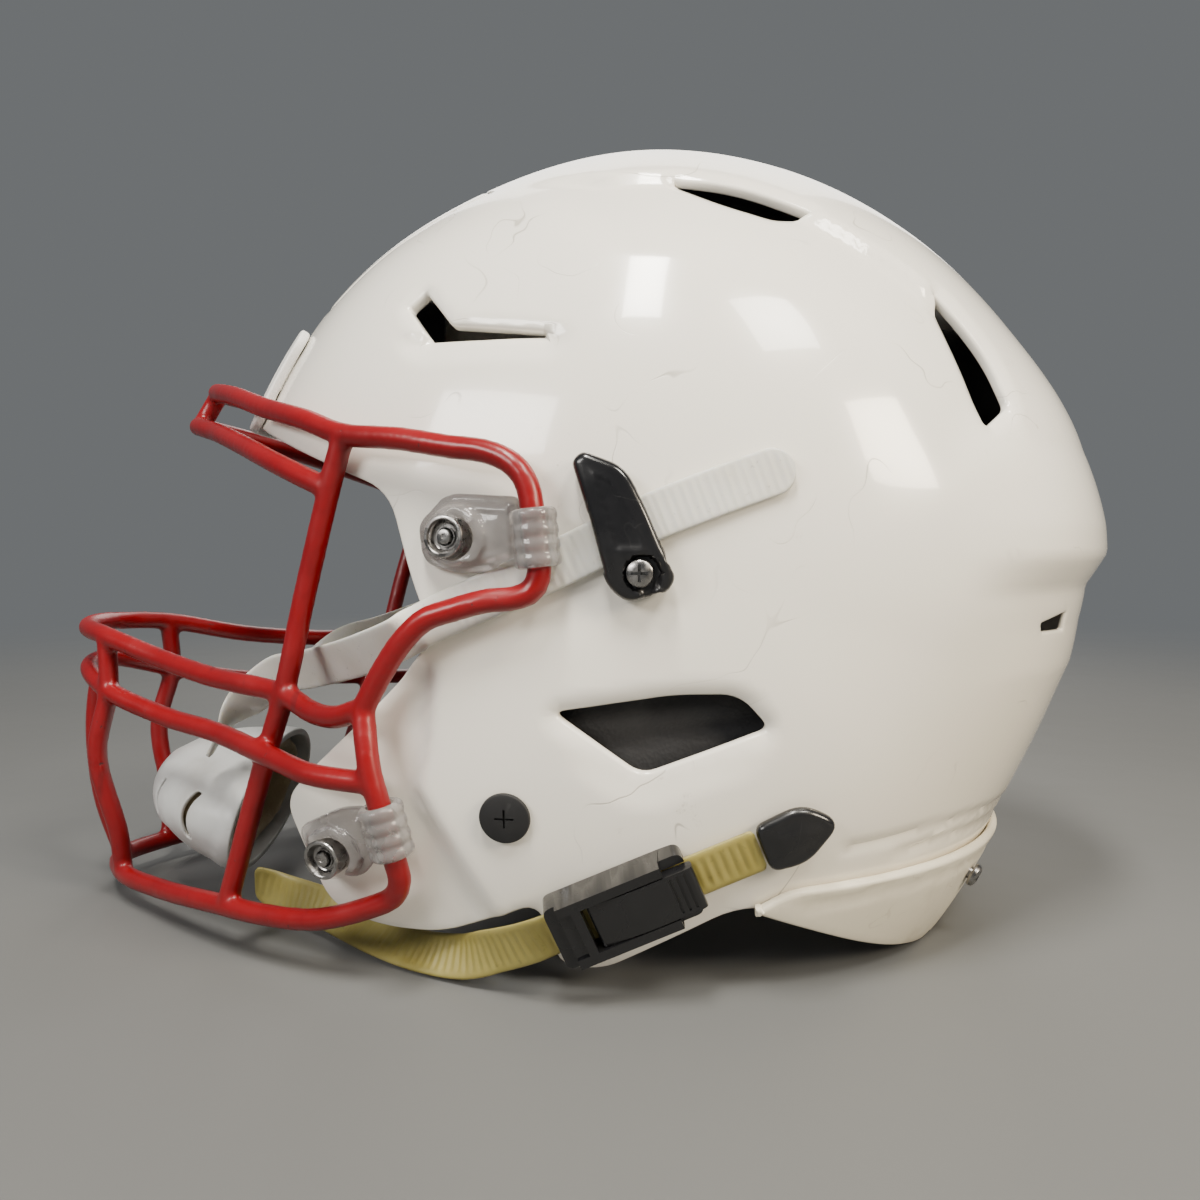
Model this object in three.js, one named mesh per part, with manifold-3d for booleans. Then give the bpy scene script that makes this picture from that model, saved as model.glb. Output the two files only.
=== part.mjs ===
// American football helmet, size large: moulded shell with a flexing crown panel, padded liner,
// welded wire face guard on four quick-release clips, and a four-point chin strap.
// Millimetres, +Z up. The wearer faces -Y and the wearer's left is +X.
// The origin is on the table, under the middle of the helmet.

import * as THREE from 'three';
import { mergeVertices } from 'three/addons/utils/BufferGeometryUtils.js';
import Module from 'manifold-3d';

const wasm = await Module();
wasm.setup();

// ---------------------------------------------------------------- driving dimensions

const GAP = 0.4; // clearance between pieces that touch on the real helmet
const LENGTH_SHIFT = 4; // puts the middle of the whole length at Y = 0

// The shell is an egg: seen from the side it is a near-circle about this centre, and its
// half width falls from the middle to the rim, later over the crown than over the face.
const EGG_CENTRE = { y: 40, z: 110 };
const EGG_HALF_WIDTH = 118;
const WIDTH_POWER = 2.1;
// Rim radius every 20 degrees, from the rear, over the crown and the face, and back below.
const RIM_RADII = [
  131, 132.5, 129, 131, 136, 142, 146.5, 153, 157.5, 165, 195, 212, 200, 180, 160, 141, 126.5, 124,
];
const EGG_DETAIL = 6;
const PAD_DETAIL = 4;
const SHELL_WALL = 4;

// Side outline of the shell as [y, z, corner radius]: brow, face opening, jaw flap,
// strap notch, buckle lobe, lower rim. It closes far outside the egg.
const SHELL_OUTLINE = [
  [-160, 178, 0], [-109, 160, 20], [-77, 146, 30], [-53, 136.5, 8], [-46, 112, 20],
  [-39.5, 97, 8], [-56, 79, 20], [-78, 58, 10], [-87, 48, 8], [-73, 17, 8],
  [-57, 12.5, 10], [-38, 12.5, 10], [-12, 25.5, 6], [-6, 6, 6], [6, 5, 6],
  [44, 25.5, 10], [90, 11, 20], [120, 7, 0], [190, 7, 0], [190, 275, 0], [-160, 275, 0],
];
const FRONT_VENT = [
  [-50, 189, 1], [-45, 193.5, 1], [-36.5, 182.5, 1], [-10, 179, 0.6], [-43, 179.5, 1],
];
const REAR_VENT = [
  [100.5, 193.5, 1], [109.5, 184, 6], [117, 173.5, 6], [121.5, 161, 2], [113, 155, 2], [109, 169, 8],
];
const EAR_OPENING = [[-7.5, 78, 3], [24, 83, 6], [41, 83, 5], [49, 74, 3], [15.5, 61.5, 4]];
const SMALL_VENT = [[133.5, 98.5, 0.6], [146, 101, 0.6], [145, 95.5, 0.6], [134, 96, 0.6]];
const TOP_VENT = [[26, 227.5, 0.6], [46, 224, 8], [65, 216.5, 0.6], [54, 215.5, 3], [39, 220.5, 8]];

// The panel's middle is at this angle above the rear; its slit is narrower along the hinge.
const PANEL = {
  angle: 133, halfLength: 31, frontHalfWidth: 36, rearHalfWidth: 44, corner: 9, slit: 1.2, hingeSlit: 0.7,
};

const BROW_BUMPER = { halfWidth: 40, low: 157, high: 188, corner: 8, thickness: 3 };
const BROW_SLOT = { x: 33.5, width: 3.2, low: 170, high: 182, corner: 1.5 };
const REAR_BUMPER_THICKNESS = 2.8;
// The rear bumper follows the lower rim and is the helmet's rear foot.
const REAR_BUMPER = [
  [46, 25, 1], [56, 30.5, 6], [97, 32.5, 20], [190, 31, 0], [190, 0, 0],
  [108, 0, 20], [90, 6, 12], [62, 18.5, 12],
];
const BROW_SCREW = { y: -104, z: 172 };
const REAR_SCREW = { y: 116, z: 22 };

const SCREW = { head: 3.6, headHeight: 2.2, bevel: 0.8, shaft: 2 };
const SHELL_NUT = { standoff: 1.9, radius: 7.5, thickness: 1.8 };
const KEEPER_NUT = { standoff: 1.9, radius: 6.5, thickness: 1.6 };
const PLUG = { y: -20, z: 50.2, radius: 6.9, height: 1.9, bevel: 0.6, stem: 4, tip: -5.5 };
const QUICK_RELEASE = {
  dish: 5.6, stem: 3, top: 7.4, tip: -7.6, bore: 2.4, floor: 1.6, recess: 2.6, button: 2, travel: 1.6,
};

const WIRE_RADIUS = 3.25;
const WIRE_SIDES = 6;

const STRAP_SLOPE = THREE.MathUtils.degToRad(22.5);
const STRAP = { width: 12.4, thickness: 2, lift: 1.7, rearEnd: 39 };

const BUCKLE = { y: 10.6, z: 28.5, length: 39, width: 19, height: 11, wall: 2.8, strap: 4.7, floor: 6.4 };
const LEVER = { pinX: -6, pinZ: 8.4, length: 27, thickness: 3.6, pinRadius: 1.2, clearance: 0.3 };

const KEEPER = { screwY: 15.7, screwZ: 115.2, low: 0.9, height: 8.2, seat: 5.4, clearance: 1.4 };
// The upper strap's way over the shell, a little wider and steeper than the strap.
const CORRIDOR = { y: 9.5, z: 125.3, halfSpan: 50, side: 2.5, extraSlope: 0.06, clipClearance: 2.4 };
const UPPER_CLIP = { y: -33.3, z: 123.8 };
const LOWER_CLIP = { y: -68.5, z: 36.6 };
const CLIP_HEIGHT = 7;
const CLIP_SLEEVE = { wall: 3.2, clearance: 0.8 };
const UPPER_CLIP_OUTLINE = [
  [-43.5, 127.5, 3], [-35.5, 135.5, 4], [-13.5, 134.5, 2], [-11, 120.5, 2], [-30, 114.5, 4], [-42, 117, 4],
];
const LOWER_CLIP_OUTLINE = [
  [-79, 43, 3], [-66, 50, 4], [-54.5, 51, 2], [-50.5, 39, 2], [-60, 31, 3], [-74.5, 29.5, 4],
];
const KEEPER_OUTLINE = [
  [-2.3, 143.5, 2.5], [0.5, 146, 2], [11, 142, 4], [16, 133, 8], [24, 114, 2.5], [22, 110.5, 2.5],
  [11.5, 107.7, 3], [6.5, 112, 4], [3, 126.5, 8],
];
const END_CAP_OUTLINE = [[-1, -7, 3], [9, -8.5, 5], [21, -1, 5], [13, 8, 5], [-1, 7, 3]];

const CUP = { y: -110, z: 28.5, radii: [49, 43, 24], wall: 2.6, rim: -2, tilt: -14 };
const CUP_PAD = { thickness: 5, rim: -5 };

// Pads hang just inside the shell, clear of the fastener ends.
const PAD_STANDOFF = 8.5;
const PAD_THICKNESS = { front: 16, crown: 16, back: 18, neck: 14, side: 16, jaw: 18 };

const COLOURS = {
  shell: [0xf1efe8, 0.18, 0], bumper: [0xe6dfcb, 0.35, 0], brow: [0xf0eee6, 0.4, 0],
  mask: [0xa81218, 0.4, 0], clip: [0xc9c4bd, 0.15, 0], metal: [0x6c6a68, 0.3, 1],
  black: [0x101112, 0.3, 0], plug: [0x1b1c1d, 0.7, 0], pad: [0x17181a, 0.85, 0],
  upperStrap: [0xe4e1d6, 0.5, 0], lowerStrap: [0xb3a25c, 0.45, 0], cup: [0xc9cac6, 0.4, 0],
  cupPad: [0xc8b896, 0.85, 0],
};

// ---------------------------------------------------------------- solids and outlines

function toSolid(geometry) {
  const bare = new THREE.BufferGeometry();
  bare.setAttribute('position', geometry.getAttribute('position'));
  bare.setIndex(geometry.getIndex());
  const merged = mergeVertices(bare, 1e-4);
  const vertProperties = Float32Array.from(merged.getAttribute('position').array);
  const triVerts = Uint32Array.from(merged.getIndex().array);
  return new wasm.Manifold(new wasm.Mesh({ numProp: 3, vertProperties, triVerts }));
}

function toGeometry(solid) {
  const mesh = solid.getMesh();
  const geometry = new THREE.BufferGeometry();
  geometry.setAttribute('position', new THREE.BufferAttribute(Float32Array.from(mesh.vertProperties), 3));
  geometry.setIndex(Array.from(mesh.triVerts));
  geometry.computeVertexNormals();
  return geometry;
}

function warp(geometry, place) {
  const position = geometry.getAttribute('position');
  const point = new THREE.Vector3();
  for (let i = 0; i < position.count; i += 1) {
    point.fromBufferAttribute(position, i);
    const moved = place(point);
    position.setXYZ(i, moved.x, moved.y, moved.z);
  }
  return geometry;
}

// A closed outline whose corners, given as [x, y, radius], are rounded by quadratic curves.
function roundedShape(corners) {
  const shape = new THREE.Shape();
  corners.forEach(([x, y, radius], i) => {
    const corner = new THREE.Vector2(x, y);
    const before = new THREE.Vector2(...corners.at(i - 1));
    const after = new THREE.Vector2(...corners[(i + 1) % corners.length]);
    const reach = Math.min(radius, 0.45 * corner.distanceTo(before), 0.45 * corner.distanceTo(after));
    const start = corner.clone().add(before.sub(corner).setLength(reach));
    const end = corner.clone().add(after.sub(corner).setLength(reach));
    if (i === 0) shape.moveTo(start.x, start.y);
    else shape.lineTo(start.x, start.y);
    if (radius > 0) shape.quadraticCurveTo(x, y, end.x, end.y);
  });
  shape.closePath();
  return shape;
}

function rectangle(width, height, radius) {
  const x = width / 2;
  const y = height / 2;
  return roundedShape([[-x, -y, radius], [x, -y, radius], [x, y, radius], [-x, y, radius]]);
}

function prism(shape, low, high, curveSegments = 2) {
  const geometry = new THREE.ExtrudeGeometry(shape, { depth: high - low, bevelEnabled: false, curveSegments });
  return geometry.translate(0, 0, low);
}

const Y_Z_X = new THREE.Matrix4().set(0, 0, 1, 0, 1, 0, 0, 0, 0, 1, 0, 0, 0, 0, 0, 1);
const Y_X_DOWN = new THREE.Matrix4().set(0, 1, 0, 0, 1, 0, 0, 0, 0, 0, -1, 0, 0, 0, 0, 1);
const X_Z_FRONT = new THREE.Matrix4().makeRotationX(Math.PI / 2);

// Prisms seen from the side (outline in y, z), from above (y, x) and from the front (x, z).
function sidePrism(corners, low = -150, high = 150) {
  return toSolid(prism(roundedShape(corners), low, high).applyMatrix4(Y_Z_X));
}

function topPrism(corners, low, high) {
  return toSolid(prism(roundedShape(corners), -high, -low).applyMatrix4(Y_X_DOWN));
}

function frontPrism(corners, yLow, yHigh) {
  return toSolid(prism(roundedShape(corners), -yHigh, -yLow).applyMatrix4(X_Z_FRONT));
}

function block(x, y, z) {
  const low = new THREE.Vector3(x[0], y[0], z[0]);
  const high = new THREE.Vector3(x[1], y[1], z[1]);
  const size = high.clone().sub(low);
  const middle = low.add(high).multiplyScalar(0.5);
  return toSolid(new THREE.BoxGeometry(...size).translate(...middle));
}

function mirrored(geometry) {
  const flipped = geometry.clone();
  flipped.scale(-1, 1, 1);
  const index = flipped.getIndex();
  for (let i = 0; i < index.count; i += 3) {
    const second = index.getX(i + 1);
    index.setX(i + 1, index.getX(i + 2));
    index.setX(i + 2, second);
  }
  flipped.computeVertexNormals();
  return flipped;
}

// ---------------------------------------------------------------- the egg

function rimRadius(angle) {
  const count = RIM_RADII.length;
  const place = THREE.MathUtils.euclideanModulo(angle / (2 * Math.PI), 1) * count;
  const i = Math.floor(place);
  const t = place - i;
  const [a, b, c, d] = [-1, 0, 1, 2].map((k) => RIM_RADII[(i + k + count) % count]);
  return b + 0.5 * t * (c - a + t * (2 * a - 5 * b + 4 * c - d + t * (3 * (b - c) + d - a)));
}

const rimPower = (angle) => 2.2 - 0.25 * Math.cos(2 * angle);

// Half width at a share of the way from the middle to the rim.
function halfWidth(reach, angle, grow) {
  return (EGG_HALF_WIDTH + grow) * Math.max(0, 1 - reach ** rimPower(angle)) ** (1 / WIDTH_POWER);
}

// A unit direction becomes a point of the egg, grown outward by the given distance.
function eggPoint(direction, grow) {
  const angle = Math.atan2(direction.z, direction.y);
  const reach = Math.hypot(direction.y, direction.z);
  const radius = reach * (rimRadius(angle) + grow);
  return new THREE.Vector3(
    Math.sign(direction.x) * halfWidth(reach, angle, grow),
    EGG_CENTRE.y + radius * Math.cos(angle),
    EGG_CENTRE.z + radius * Math.sin(angle),
  );
}

const eggs = new Map();

function egg(grow, detail = EGG_DETAIL) {
  const key = `${grow} ${detail}`;
  if (!eggs.has(key)) {
    const ball = new THREE.IcosahedronGeometry(1, detail);
    eggs.set(key, toSolid(warp(ball, (point) => eggPoint(point.normalize(), grow))));
  }
  return eggs.get(key);
}

const layer = (low, high, detail = EGG_DETAIL) => egg(high, detail).subtract(egg(low, detail));

function eggSide(y, z, grow = 0) {
  const [dy, dz] = [y - EGG_CENTRE.y, z - EGG_CENTRE.z];
  const angle = Math.atan2(dz, dy);
  return halfWidth(Math.hypot(dy, dz) / (rimRadius(angle) + grow), angle, grow);
}

function eggNormal(y, z) {
  const step = 0.5;
  const slopeY = (eggSide(y + step, z) - eggSide(y - step, z)) / (2 * step);
  const slopeZ = (eggSide(y, z + step) - eggSide(y, z - step)) / (2 * step);
  return new THREE.Vector3(1, -slopeY, -slopeZ).normalize();
}

// The point above the left side of the shell at a side-view place, lifted along the normal.
function onShell(y, z, lift = 0) {
  return new THREE.Vector3(eggSide(y, z), y, z).addScaledVector(eggNormal(y, z), lift);
}

// ---------------------------------------------------------------- shell and bumpers

function panelFrame() {
  const angle = THREE.MathUtils.degToRad(PANEL.angle);
  const back = new THREE.Vector3(0, Math.sin(angle), -Math.cos(angle));
  const out = new THREE.Vector3(0, Math.cos(angle), Math.sin(angle));
  return new THREE.Matrix4()
    .makeBasis(new THREE.Vector3(1, 0, 0), back, out)
    .setPosition(0, EGG_CENTRE.y, EGG_CENTRE.z);
}

function panelPrism(slit, hingeSlit) {
  const front = -PANEL.halfLength - slit;
  const rear = PANEL.halfLength + hingeSlit;
  const narrow = PANEL.frontHalfWidth + slit;
  const wide = PANEL.rearHalfWidth + slit;
  const { corner } = PANEL;
  const outline = [[-narrow, front, corner], [narrow, front, corner], [wide, rear, 0], [-wide, rear, 0]];
  return toSolid(prism(roundedShape(outline), 90, 170).applyMatrix4(panelFrame()));
}

function bothSides(corners, low, high) {
  return sidePrism(corners, low, high).add(sidePrism(corners, -high, -low));
}

function fastenerHole(y, z, radius) {
  const hole = new THREE.CylinderGeometry(radius, radius, 40, 12).rotateX(Math.PI / 2);
  const left = hole.applyMatrix4(shellFrame(y, z));
  return toSolid(left).add(toSolid(mirrored(left)));
}

// Local frame on the shell: z out along the normal, y as near to up as it can be.
function shellFrame(y, z, lift = 0) {
  const out = eggNormal(y, z);
  const back = new THREE.Vector3(0, 0, 1).cross(out).normalize();
  const up = out.clone().cross(back);
  return new THREE.Matrix4().makeBasis(back, up, out).setPosition(onShell(y, z, lift));
}

function makeShell() {
  return layer(-SHELL_WALL, 0)
    .intersect(sidePrism(SHELL_OUTLINE))
    .subtract(bothSides(FRONT_VENT, 50, 130))
    .subtract(bothSides(REAR_VENT, 50, 120))
    .subtract(bothSides(EAR_OPENING, 90, 130))
    .subtract(bothSides(SMALL_VENT, 50, 95))
    .subtract(bothSides(TOP_VENT, 45, 110))
    .subtract(panelPrism(PANEL.slit, PANEL.hingeSlit))
    .subtract(fastenerHole(UPPER_CLIP.y, UPPER_CLIP.z, QUICK_RELEASE.stem + GAP))
    .subtract(fastenerHole(LOWER_CLIP.y, LOWER_CLIP.z, QUICK_RELEASE.stem + GAP))
    .subtract(fastenerHole(KEEPER.screwY, KEEPER.screwZ, SCREW.shaft + GAP))
    .subtract(fastenerHole(PLUG.y, PLUG.z, PLUG.stem + GAP))
    .subtract(bumperScrewHoles());
}

const makePanel = () => layer(-SHELL_WALL, 0).intersect(panelPrism(0, 0));

// A rounded upright rectangle seen from the front, cut through the brow side of the shell.
function browPrism(middle, halfWidth, low, high, corner) {
  const left = middle - halfWidth;
  const right = middle + halfWidth;
  const outline = [[left, low, corner], [right, low, corner], [right, high, corner], [left, high, corner]];
  return frontPrism(outline, -140, -60);
}

function makeBrowBumper() {
  const { halfWidth, low, high, corner, thickness } = BROW_BUMPER;
  const slot = (x) => browPrism(x, BROW_SLOT.width / 2, BROW_SLOT.low, BROW_SLOT.high, BROW_SLOT.corner);
  return layer(GAP, GAP + thickness)
    .intersect(browPrism(0, halfWidth, low, high, corner))
    .subtract(slot(BROW_SLOT.x))
    .subtract(slot(-BROW_SLOT.x))
    .subtract(bumperScrewHoles());
}

function makeRearBumper() {
  return layer(GAP, GAP + REAR_BUMPER_THICKNESS)
    .intersect(sidePrism(REAR_BUMPER))
    .subtract(bumperScrewHoles());
}

// ---------------------------------------------------------------- turned pieces

// A profile of [radius, height] pairs turned about the local z axis.
function turned(profile, sides) {
  const points = profile.map(([radius, height]) => new THREE.Vector2(radius, height));
  return new THREE.LatheGeometry(points, sides).rotateX(Math.PI / 2);
}

// Heights are above the outer face of the shell: the screw's head sits from headLow up.
function screwProfile(headLow, tip) {
  const top = headLow + SCREW.headHeight;
  return [
    [0, tip], [SCREW.shaft, tip], [SCREW.shaft, headLow], [SCREW.head, headLow],
    [SCREW.head, top - SCREW.bevel], [SCREW.head - SCREW.bevel, top], [0, top],
  ];
}

// A round nut on the inside of the shell, about a stem of the given radius.
function nutProfile({ standoff, radius, thickness }, stem) {
  const bore = stem + GAP;
  const high = -SHELL_WALL - standoff;
  const low = high - thickness;
  return [[bore, low], [radius, low], [radius, high], [bore, high], [bore, low]];
}

function dishProfile() {
  const { dish, stem, top, tip, bore, floor, recess } = QUICK_RELEASE;
  const lip = 0.9;
  return [
    [0, tip], [stem, tip], [stem, GAP], [dish, GAP], [dish, top], [dish - lip, top],
    [bore + 1, top - recess], [bore, top - recess], [bore, floor], [0, floor],
  ];
}

function buttonProfile() {
  const { button, top, floor, travel } = QUICK_RELEASE;
  const low = floor + travel + GAP;
  const high = top - GAP;
  const bevel = 0.5;
  return [[0, low], [button, low], [button, high - bevel], [button - bevel, high], [0, high]];
}

function plugProfile() {
  const { radius, height, bevel, stem, tip } = PLUG;
  return [
    [0, tip], [stem, tip], [stem, GAP], [radius, GAP], [radius, height - bevel],
    [radius - bevel, height], [0, height],
  ];
}

// ---------------------------------------------------------------- face guard

function wireSection() {
  const turn = (i) => ((i + 0.5) / WIRE_SIDES) * 2 * Math.PI;
  const corner = (i) => new THREE.Vector2(Math.cos(turn(i)), Math.sin(turn(i))).multiplyScalar(WIRE_RADIUS);
  return new THREE.Shape(Array.from({ length: WIRE_SIDES }, (_, i) => corner(i)));
}

function wire(points, steps) {
  const curve = new THREE.CatmullRomCurve3(points.map((p) => new THREE.Vector3(...p)), false, 'centripetal');
  return new THREE.ExtrudeGeometry(wireSection(), { steps, bevelEnabled: false, extrudePath: curve });
}

// The left half of the guard, wire by wire. Each starts on the middle plane or on another wire.
const BROW_AND_ARM = [
  [0, -128.5, 172.5], [16, -122.5, 171], [31, -113.5, 168.5], [55, -97, 162.5], [78, -79, 157],
  [91, -65.5, 152], [102.5, -48, 150], [109.5, -34, 147.5], [113.5, -24, 146], [116.5, -17.5, 143],
  [118, -13.8, 138.5], [118.6, -12, 131], [119, -11.2, 123], [119.5, -10.3, 115.5],
  [119.5, -12, 110.8], [119, -16.5, 108.8], [118, -24, 108], [116.5, -33, 105.5], [115, -40, 103],
  [113, -46, 97.5], [110, -52, 89], [106.5, -58, 78.5],
];
const BROW_LOWER = [
  [0, -135.5, 161], [25, -121, 157], [50, -105.5, 151.5], [71, -90.5, 145.5], [83, -78.5, 140.5],
  [89, -71, 137.5],
];
const SIDE_AND_BOTTOM = [
  [106.5, -58, 78.5], [108.5, -57, 70], [109.7, -55.8, 62], [109.9, -54.2, 56],
  [109.3, -52.6, 49.5], [108.8, -51.2, 43.8], [108.3, -49.8, 38], [106.5, -48.8, 32],
  [103.5, -51, 26.5], [101, -57, 23], [93, -74.5, 16.5], [82, -92.5, 14], [67, -112, 12.5],
  [45, -136, 9.5], [22, -158, 8], [0, -167, 8],
];
const TOP_BAR = [
  [106.5, -58, 78.5], [99.5, -67, 75], [91, -75.5, 75], [81, -86, 78.5], [60, -113, 80.5],
  [43, -135, 84], [28, -159, 90], [14, -171, 91.5], [0, -174, 92],
];
const SECOND_BAR = [
  [109.7, -55, 59], [100, -73.8, 59.3], [87, -87.5, 61], [63, -111.5, 64], [44, -135, 66],
  [29, -158.5, 72], [14, -171, 77.5], [0, -173, 79],
];
const LONG_VERTICAL = [
  [91, -65.5, 152], [89, -70, 137.5], [84, -79, 106], [81, -86, 78.5], [77, -92.5, 60],
  [71, -107, 13],
];
const FRONT_VERTICAL = [
  [28, -159, 90], [29, -158.5, 72], [27.5, -163.5, 50], [24, -158.5, 22], [21, -158.5, 7.5],
];
const BROW_LINK = [[0, -128.5, 172.5], [0, -135.5, 161]];
const CENTRE_BAR = [[0, -173, 79], [0, -176, 55], [0, -174, 30], [0, -167, 8]];

function makeFacemask() {
  const browAndArm = wire(BROW_AND_ARM, 21);
  const others = [
    wire(BROW_LOWER, 6), wire(SIDE_AND_BOTTOM, 18), wire(TOP_BAR, 11), wire(SECOND_BAR, 10),
    wire(LONG_VERTICAL, 6), wire(FRONT_VERTICAL, 4),
  ];
  const left = others.reduce((sum, geometry) => sum.add(toSolid(geometry)), toSolid(browAndArm));
  const middle = toSolid(wire(BROW_LINK, 1)).add(toSolid(wire(CENTRE_BAR, 4)));
  return left.add(left.mirror([1, 0, 0])).add(middle);
}

// A round bar or bore between two points, run on past both of them by half the extra length.
function rod(low, high, radius, extra) {
  const along = high.clone().sub(low);
  const turn = new THREE.Quaternion().setFromUnitVectors(new THREE.Vector3(0, 1, 0), along.clone().normalize());
  const middle = low.clone().add(high).multiplyScalar(0.5);
  const geometry = new THREE.CylinderGeometry(radius, radius, along.length() + extra, 16);
  return toSolid(geometry.applyQuaternion(turn).translate(...middle));
}

// A clip is a block that lies on the shell, with a sleeve round the guard's wire.
function makeClip(place, outline, wireLow, wireHigh) {
  const boreRadius = QUICK_RELEASE.dish + GAP;
  const bore = new THREE.CylinderGeometry(boreRadius, boreRadius, 30, 20).rotateX(Math.PI / 2);
  return layer(GAP, CLIP_HEIGHT)
    .intersect(sidePrism(outline, 0, 150))
    .add(rod(wireLow, wireHigh, WIRE_RADIUS + CLIP_SLEEVE.wall, 0))
    .subtract(egg(GAP))
    .subtract(rod(wireLow, wireHigh, WIRE_RADIUS + CLIP_SLEEVE.clearance, 30))
    .subtract(strapCorridor(STRAP.lift + STRAP.thickness / 2 + CORRIDOR.clipClearance))
    .subtract(toSolid(bore.applyMatrix4(shellFrame(place.y, place.z))));
}

function makeUpperClip() {
  const low = new THREE.Vector3(119.4, -10.5, 116.5);
  const high = new THREE.Vector3(118.6, -12.1, 131.5);
  return makeClip(UPPER_CLIP, UPPER_CLIP_OUTLINE, low, high);
}

function makeLowerClip() {
  const low = new THREE.Vector3(108.4, -50, 39);
  const high = new THREE.Vector3(109.6, -53.5, 53.5);
  return makeClip(LOWER_CLIP, LOWER_CLIP_OUTLINE, low, high);
}

// ---------------------------------------------------------------- strap keepers

// The space over the shell that the upper strap slides in.
function strapCorridor(top) {
  const { y, z, halfSpan, side, extraSlope } = CORRIDOR;
  const rise = halfSpan * Math.tan(STRAP_SLOPE + extraSlope);
  const half = STRAP.width / 2 + side;
  const corners = [
    [y - halfSpan, z - rise - half, 0], [y + halfSpan, z + rise - half, 0],
    [y + halfSpan, z + rise + half, 0], [y - halfSpan, z - rise + half, 0],
  ];
  return layer(-2, top).intersect(sidePrism(corners, 0, 150));
}

// A bore on the shell's local z axis at the keeper's screw, from the given height outward.
function keeperBore(radius, sides, low, length) {
  const bore = new THREE.CylinderGeometry(radius, radius, length, sides).rotateX(Math.PI / 2);
  const placed = bore.translate(0, 0, low + length / 2);
  return toSolid(placed.applyMatrix4(shellFrame(KEEPER.screwY, KEEPER.screwZ)));
}

function makeKeeper() {
  const tunnelTop = STRAP.lift + STRAP.thickness / 2 + KEEPER.clearance;
  return layer(KEEPER.low, KEEPER.height)
    .intersect(sidePrism(KEEPER_OUTLINE, 0, 150))
    .subtract(strapCorridor(tunnelTop))
    .subtract(keeperBore(SCREW.head + GAP, 16, KEEPER.seat, 20))
    .subtract(keeperBore(SCREW.shaft + GAP, 12, -20, 40));
}

// ---------------------------------------------------------------- chin strap

// A flat band along stations of [centre, unit vector across the width].
function ribbon(stations, width, thickness, steps) {
  const line = new THREE.CatmullRomCurve3(stations.map((s) => s.centre), false, 'centripetal');
  const across = new THREE.CatmullRomCurve3(stations.map((s) => s.across), false, 'catmullrom');
  const lengths = stations.map((_, i) => i / (stations.length - 1));
  const band = new THREE.BoxGeometry(1, width, thickness, steps, 1, 1);
  return warp(band, (point) => {
    const t = point.x + 0.5;
    const centre = line.getPoint(t);
    const tangent = line.getTangent(t);
    const side = across.getPoint(t * lengths.at(-1));
    side.addScaledVector(tangent, -side.dot(tangent)).normalize();
    const out = tangent.clone().cross(side);
    return centre.addScaledVector(side, point.y).addScaledVector(out, point.z);
  });
}

const station = (centre, across) => ({
  centre: new THREE.Vector3(...centre),
  across: new THREE.Vector3(...across).normalize(),
});

// A station lying on the shell, with the band's width in the surface and across its slope.
function shellStation(y, z, lift, slope = STRAP_SLOPE) {
  const out = eggNormal(y, z);
  const along = new THREE.Vector3(0, Math.cos(slope), Math.sin(slope));
  const across = out.clone().cross(along).normalize();
  return { centre: onShell(y, z, lift), across };
}

const upperStrapStations = () => [
  shellStation(54, 142.5, STRAP.lift, 0.33), shellStation(32, 134.6, STRAP.lift, 0.37),
  shellStation(18, 129, STRAP.lift, 0.4), shellStation(-5, 117.5, STRAP.lift + 0.2, 0.44),
  shellStation(-25, 108.2, STRAP.lift + 0.3, 0.44), shellStation(-41, 100.5, STRAP.lift + 0.7, 0.44),
  station([105.8, -48, 97.2], [0.3, -0.45, 0.85]), station([97, -58.5, 92.4], [0.25, -0.45, 0.86]),
  station([80, -71.5, 87.4], [0.22, -0.4, 0.88]), station([61.5, -85, 83], [0.2, -0.3, 0.92]),
  station([49, -98, 79], [0.2, -0.2, 0.95]), station([43, -114, 64], [0.5, 0.3, 0.6]),
  station([45, -120, 53.5], [0.8, 0.3, 0.3]),
];

const makeUpperStrap = () => ribbon(upperStrapStations(), STRAP.width, STRAP.thickness, 22);

const lowerStrapStations = () => {
  const frame = buckleFrame();
  const inBuckle = (x) => new THREE.Vector3(x, 0, BUCKLE.strap).applyMatrix4(frame);
  const across = new THREE.Vector3(0, 1, 0).transformDirection(frame);
  return [
    { centre: inBuckle(STRAP.rearEnd), across }, { centre: inBuckle(24), across },
    { centre: inBuckle(0), across }, { centre: inBuckle(-21), across },
    station([110.5, -15, 16], [0.1, -0.4, 0.9]), station([105, -23.5, 12], [-0.1, -0.4, 0.9]),
    station([97, -33, 7.4], [-0.62, -0.3, 0.72]), station([87, -46, 5.2], [-0.86, -0.3, 0.47]),
    station([75, -61, 5.2], [-0.9, -0.3, 0.4]), station([60, -79, 8], [-0.7, -0.3, 0.65]),
    station([48, -97, 9.5], [-0.3, -0.2, 0.95]), station([44.5, -106, 12], [0.2, -0.3, 0.95]),
  ];
};

const makeLowerStrap = () => ribbon(lowerStrapStations(), STRAP.width, STRAP.thickness, 26);

function makeEndCap() {
  const start = STRAP.rearEnd + GAP + 1;
  const shape = roundedShape(END_CAP_OUTLINE.map(([x, y, radius]) => [x + start, y, radius]));
  return toSolid(prism(shape, 2.6, 8).applyMatrix4(buckleFrame())).subtract(egg(GAP + 0.3));
}

// ---------------------------------------------------------------- buckle

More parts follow.
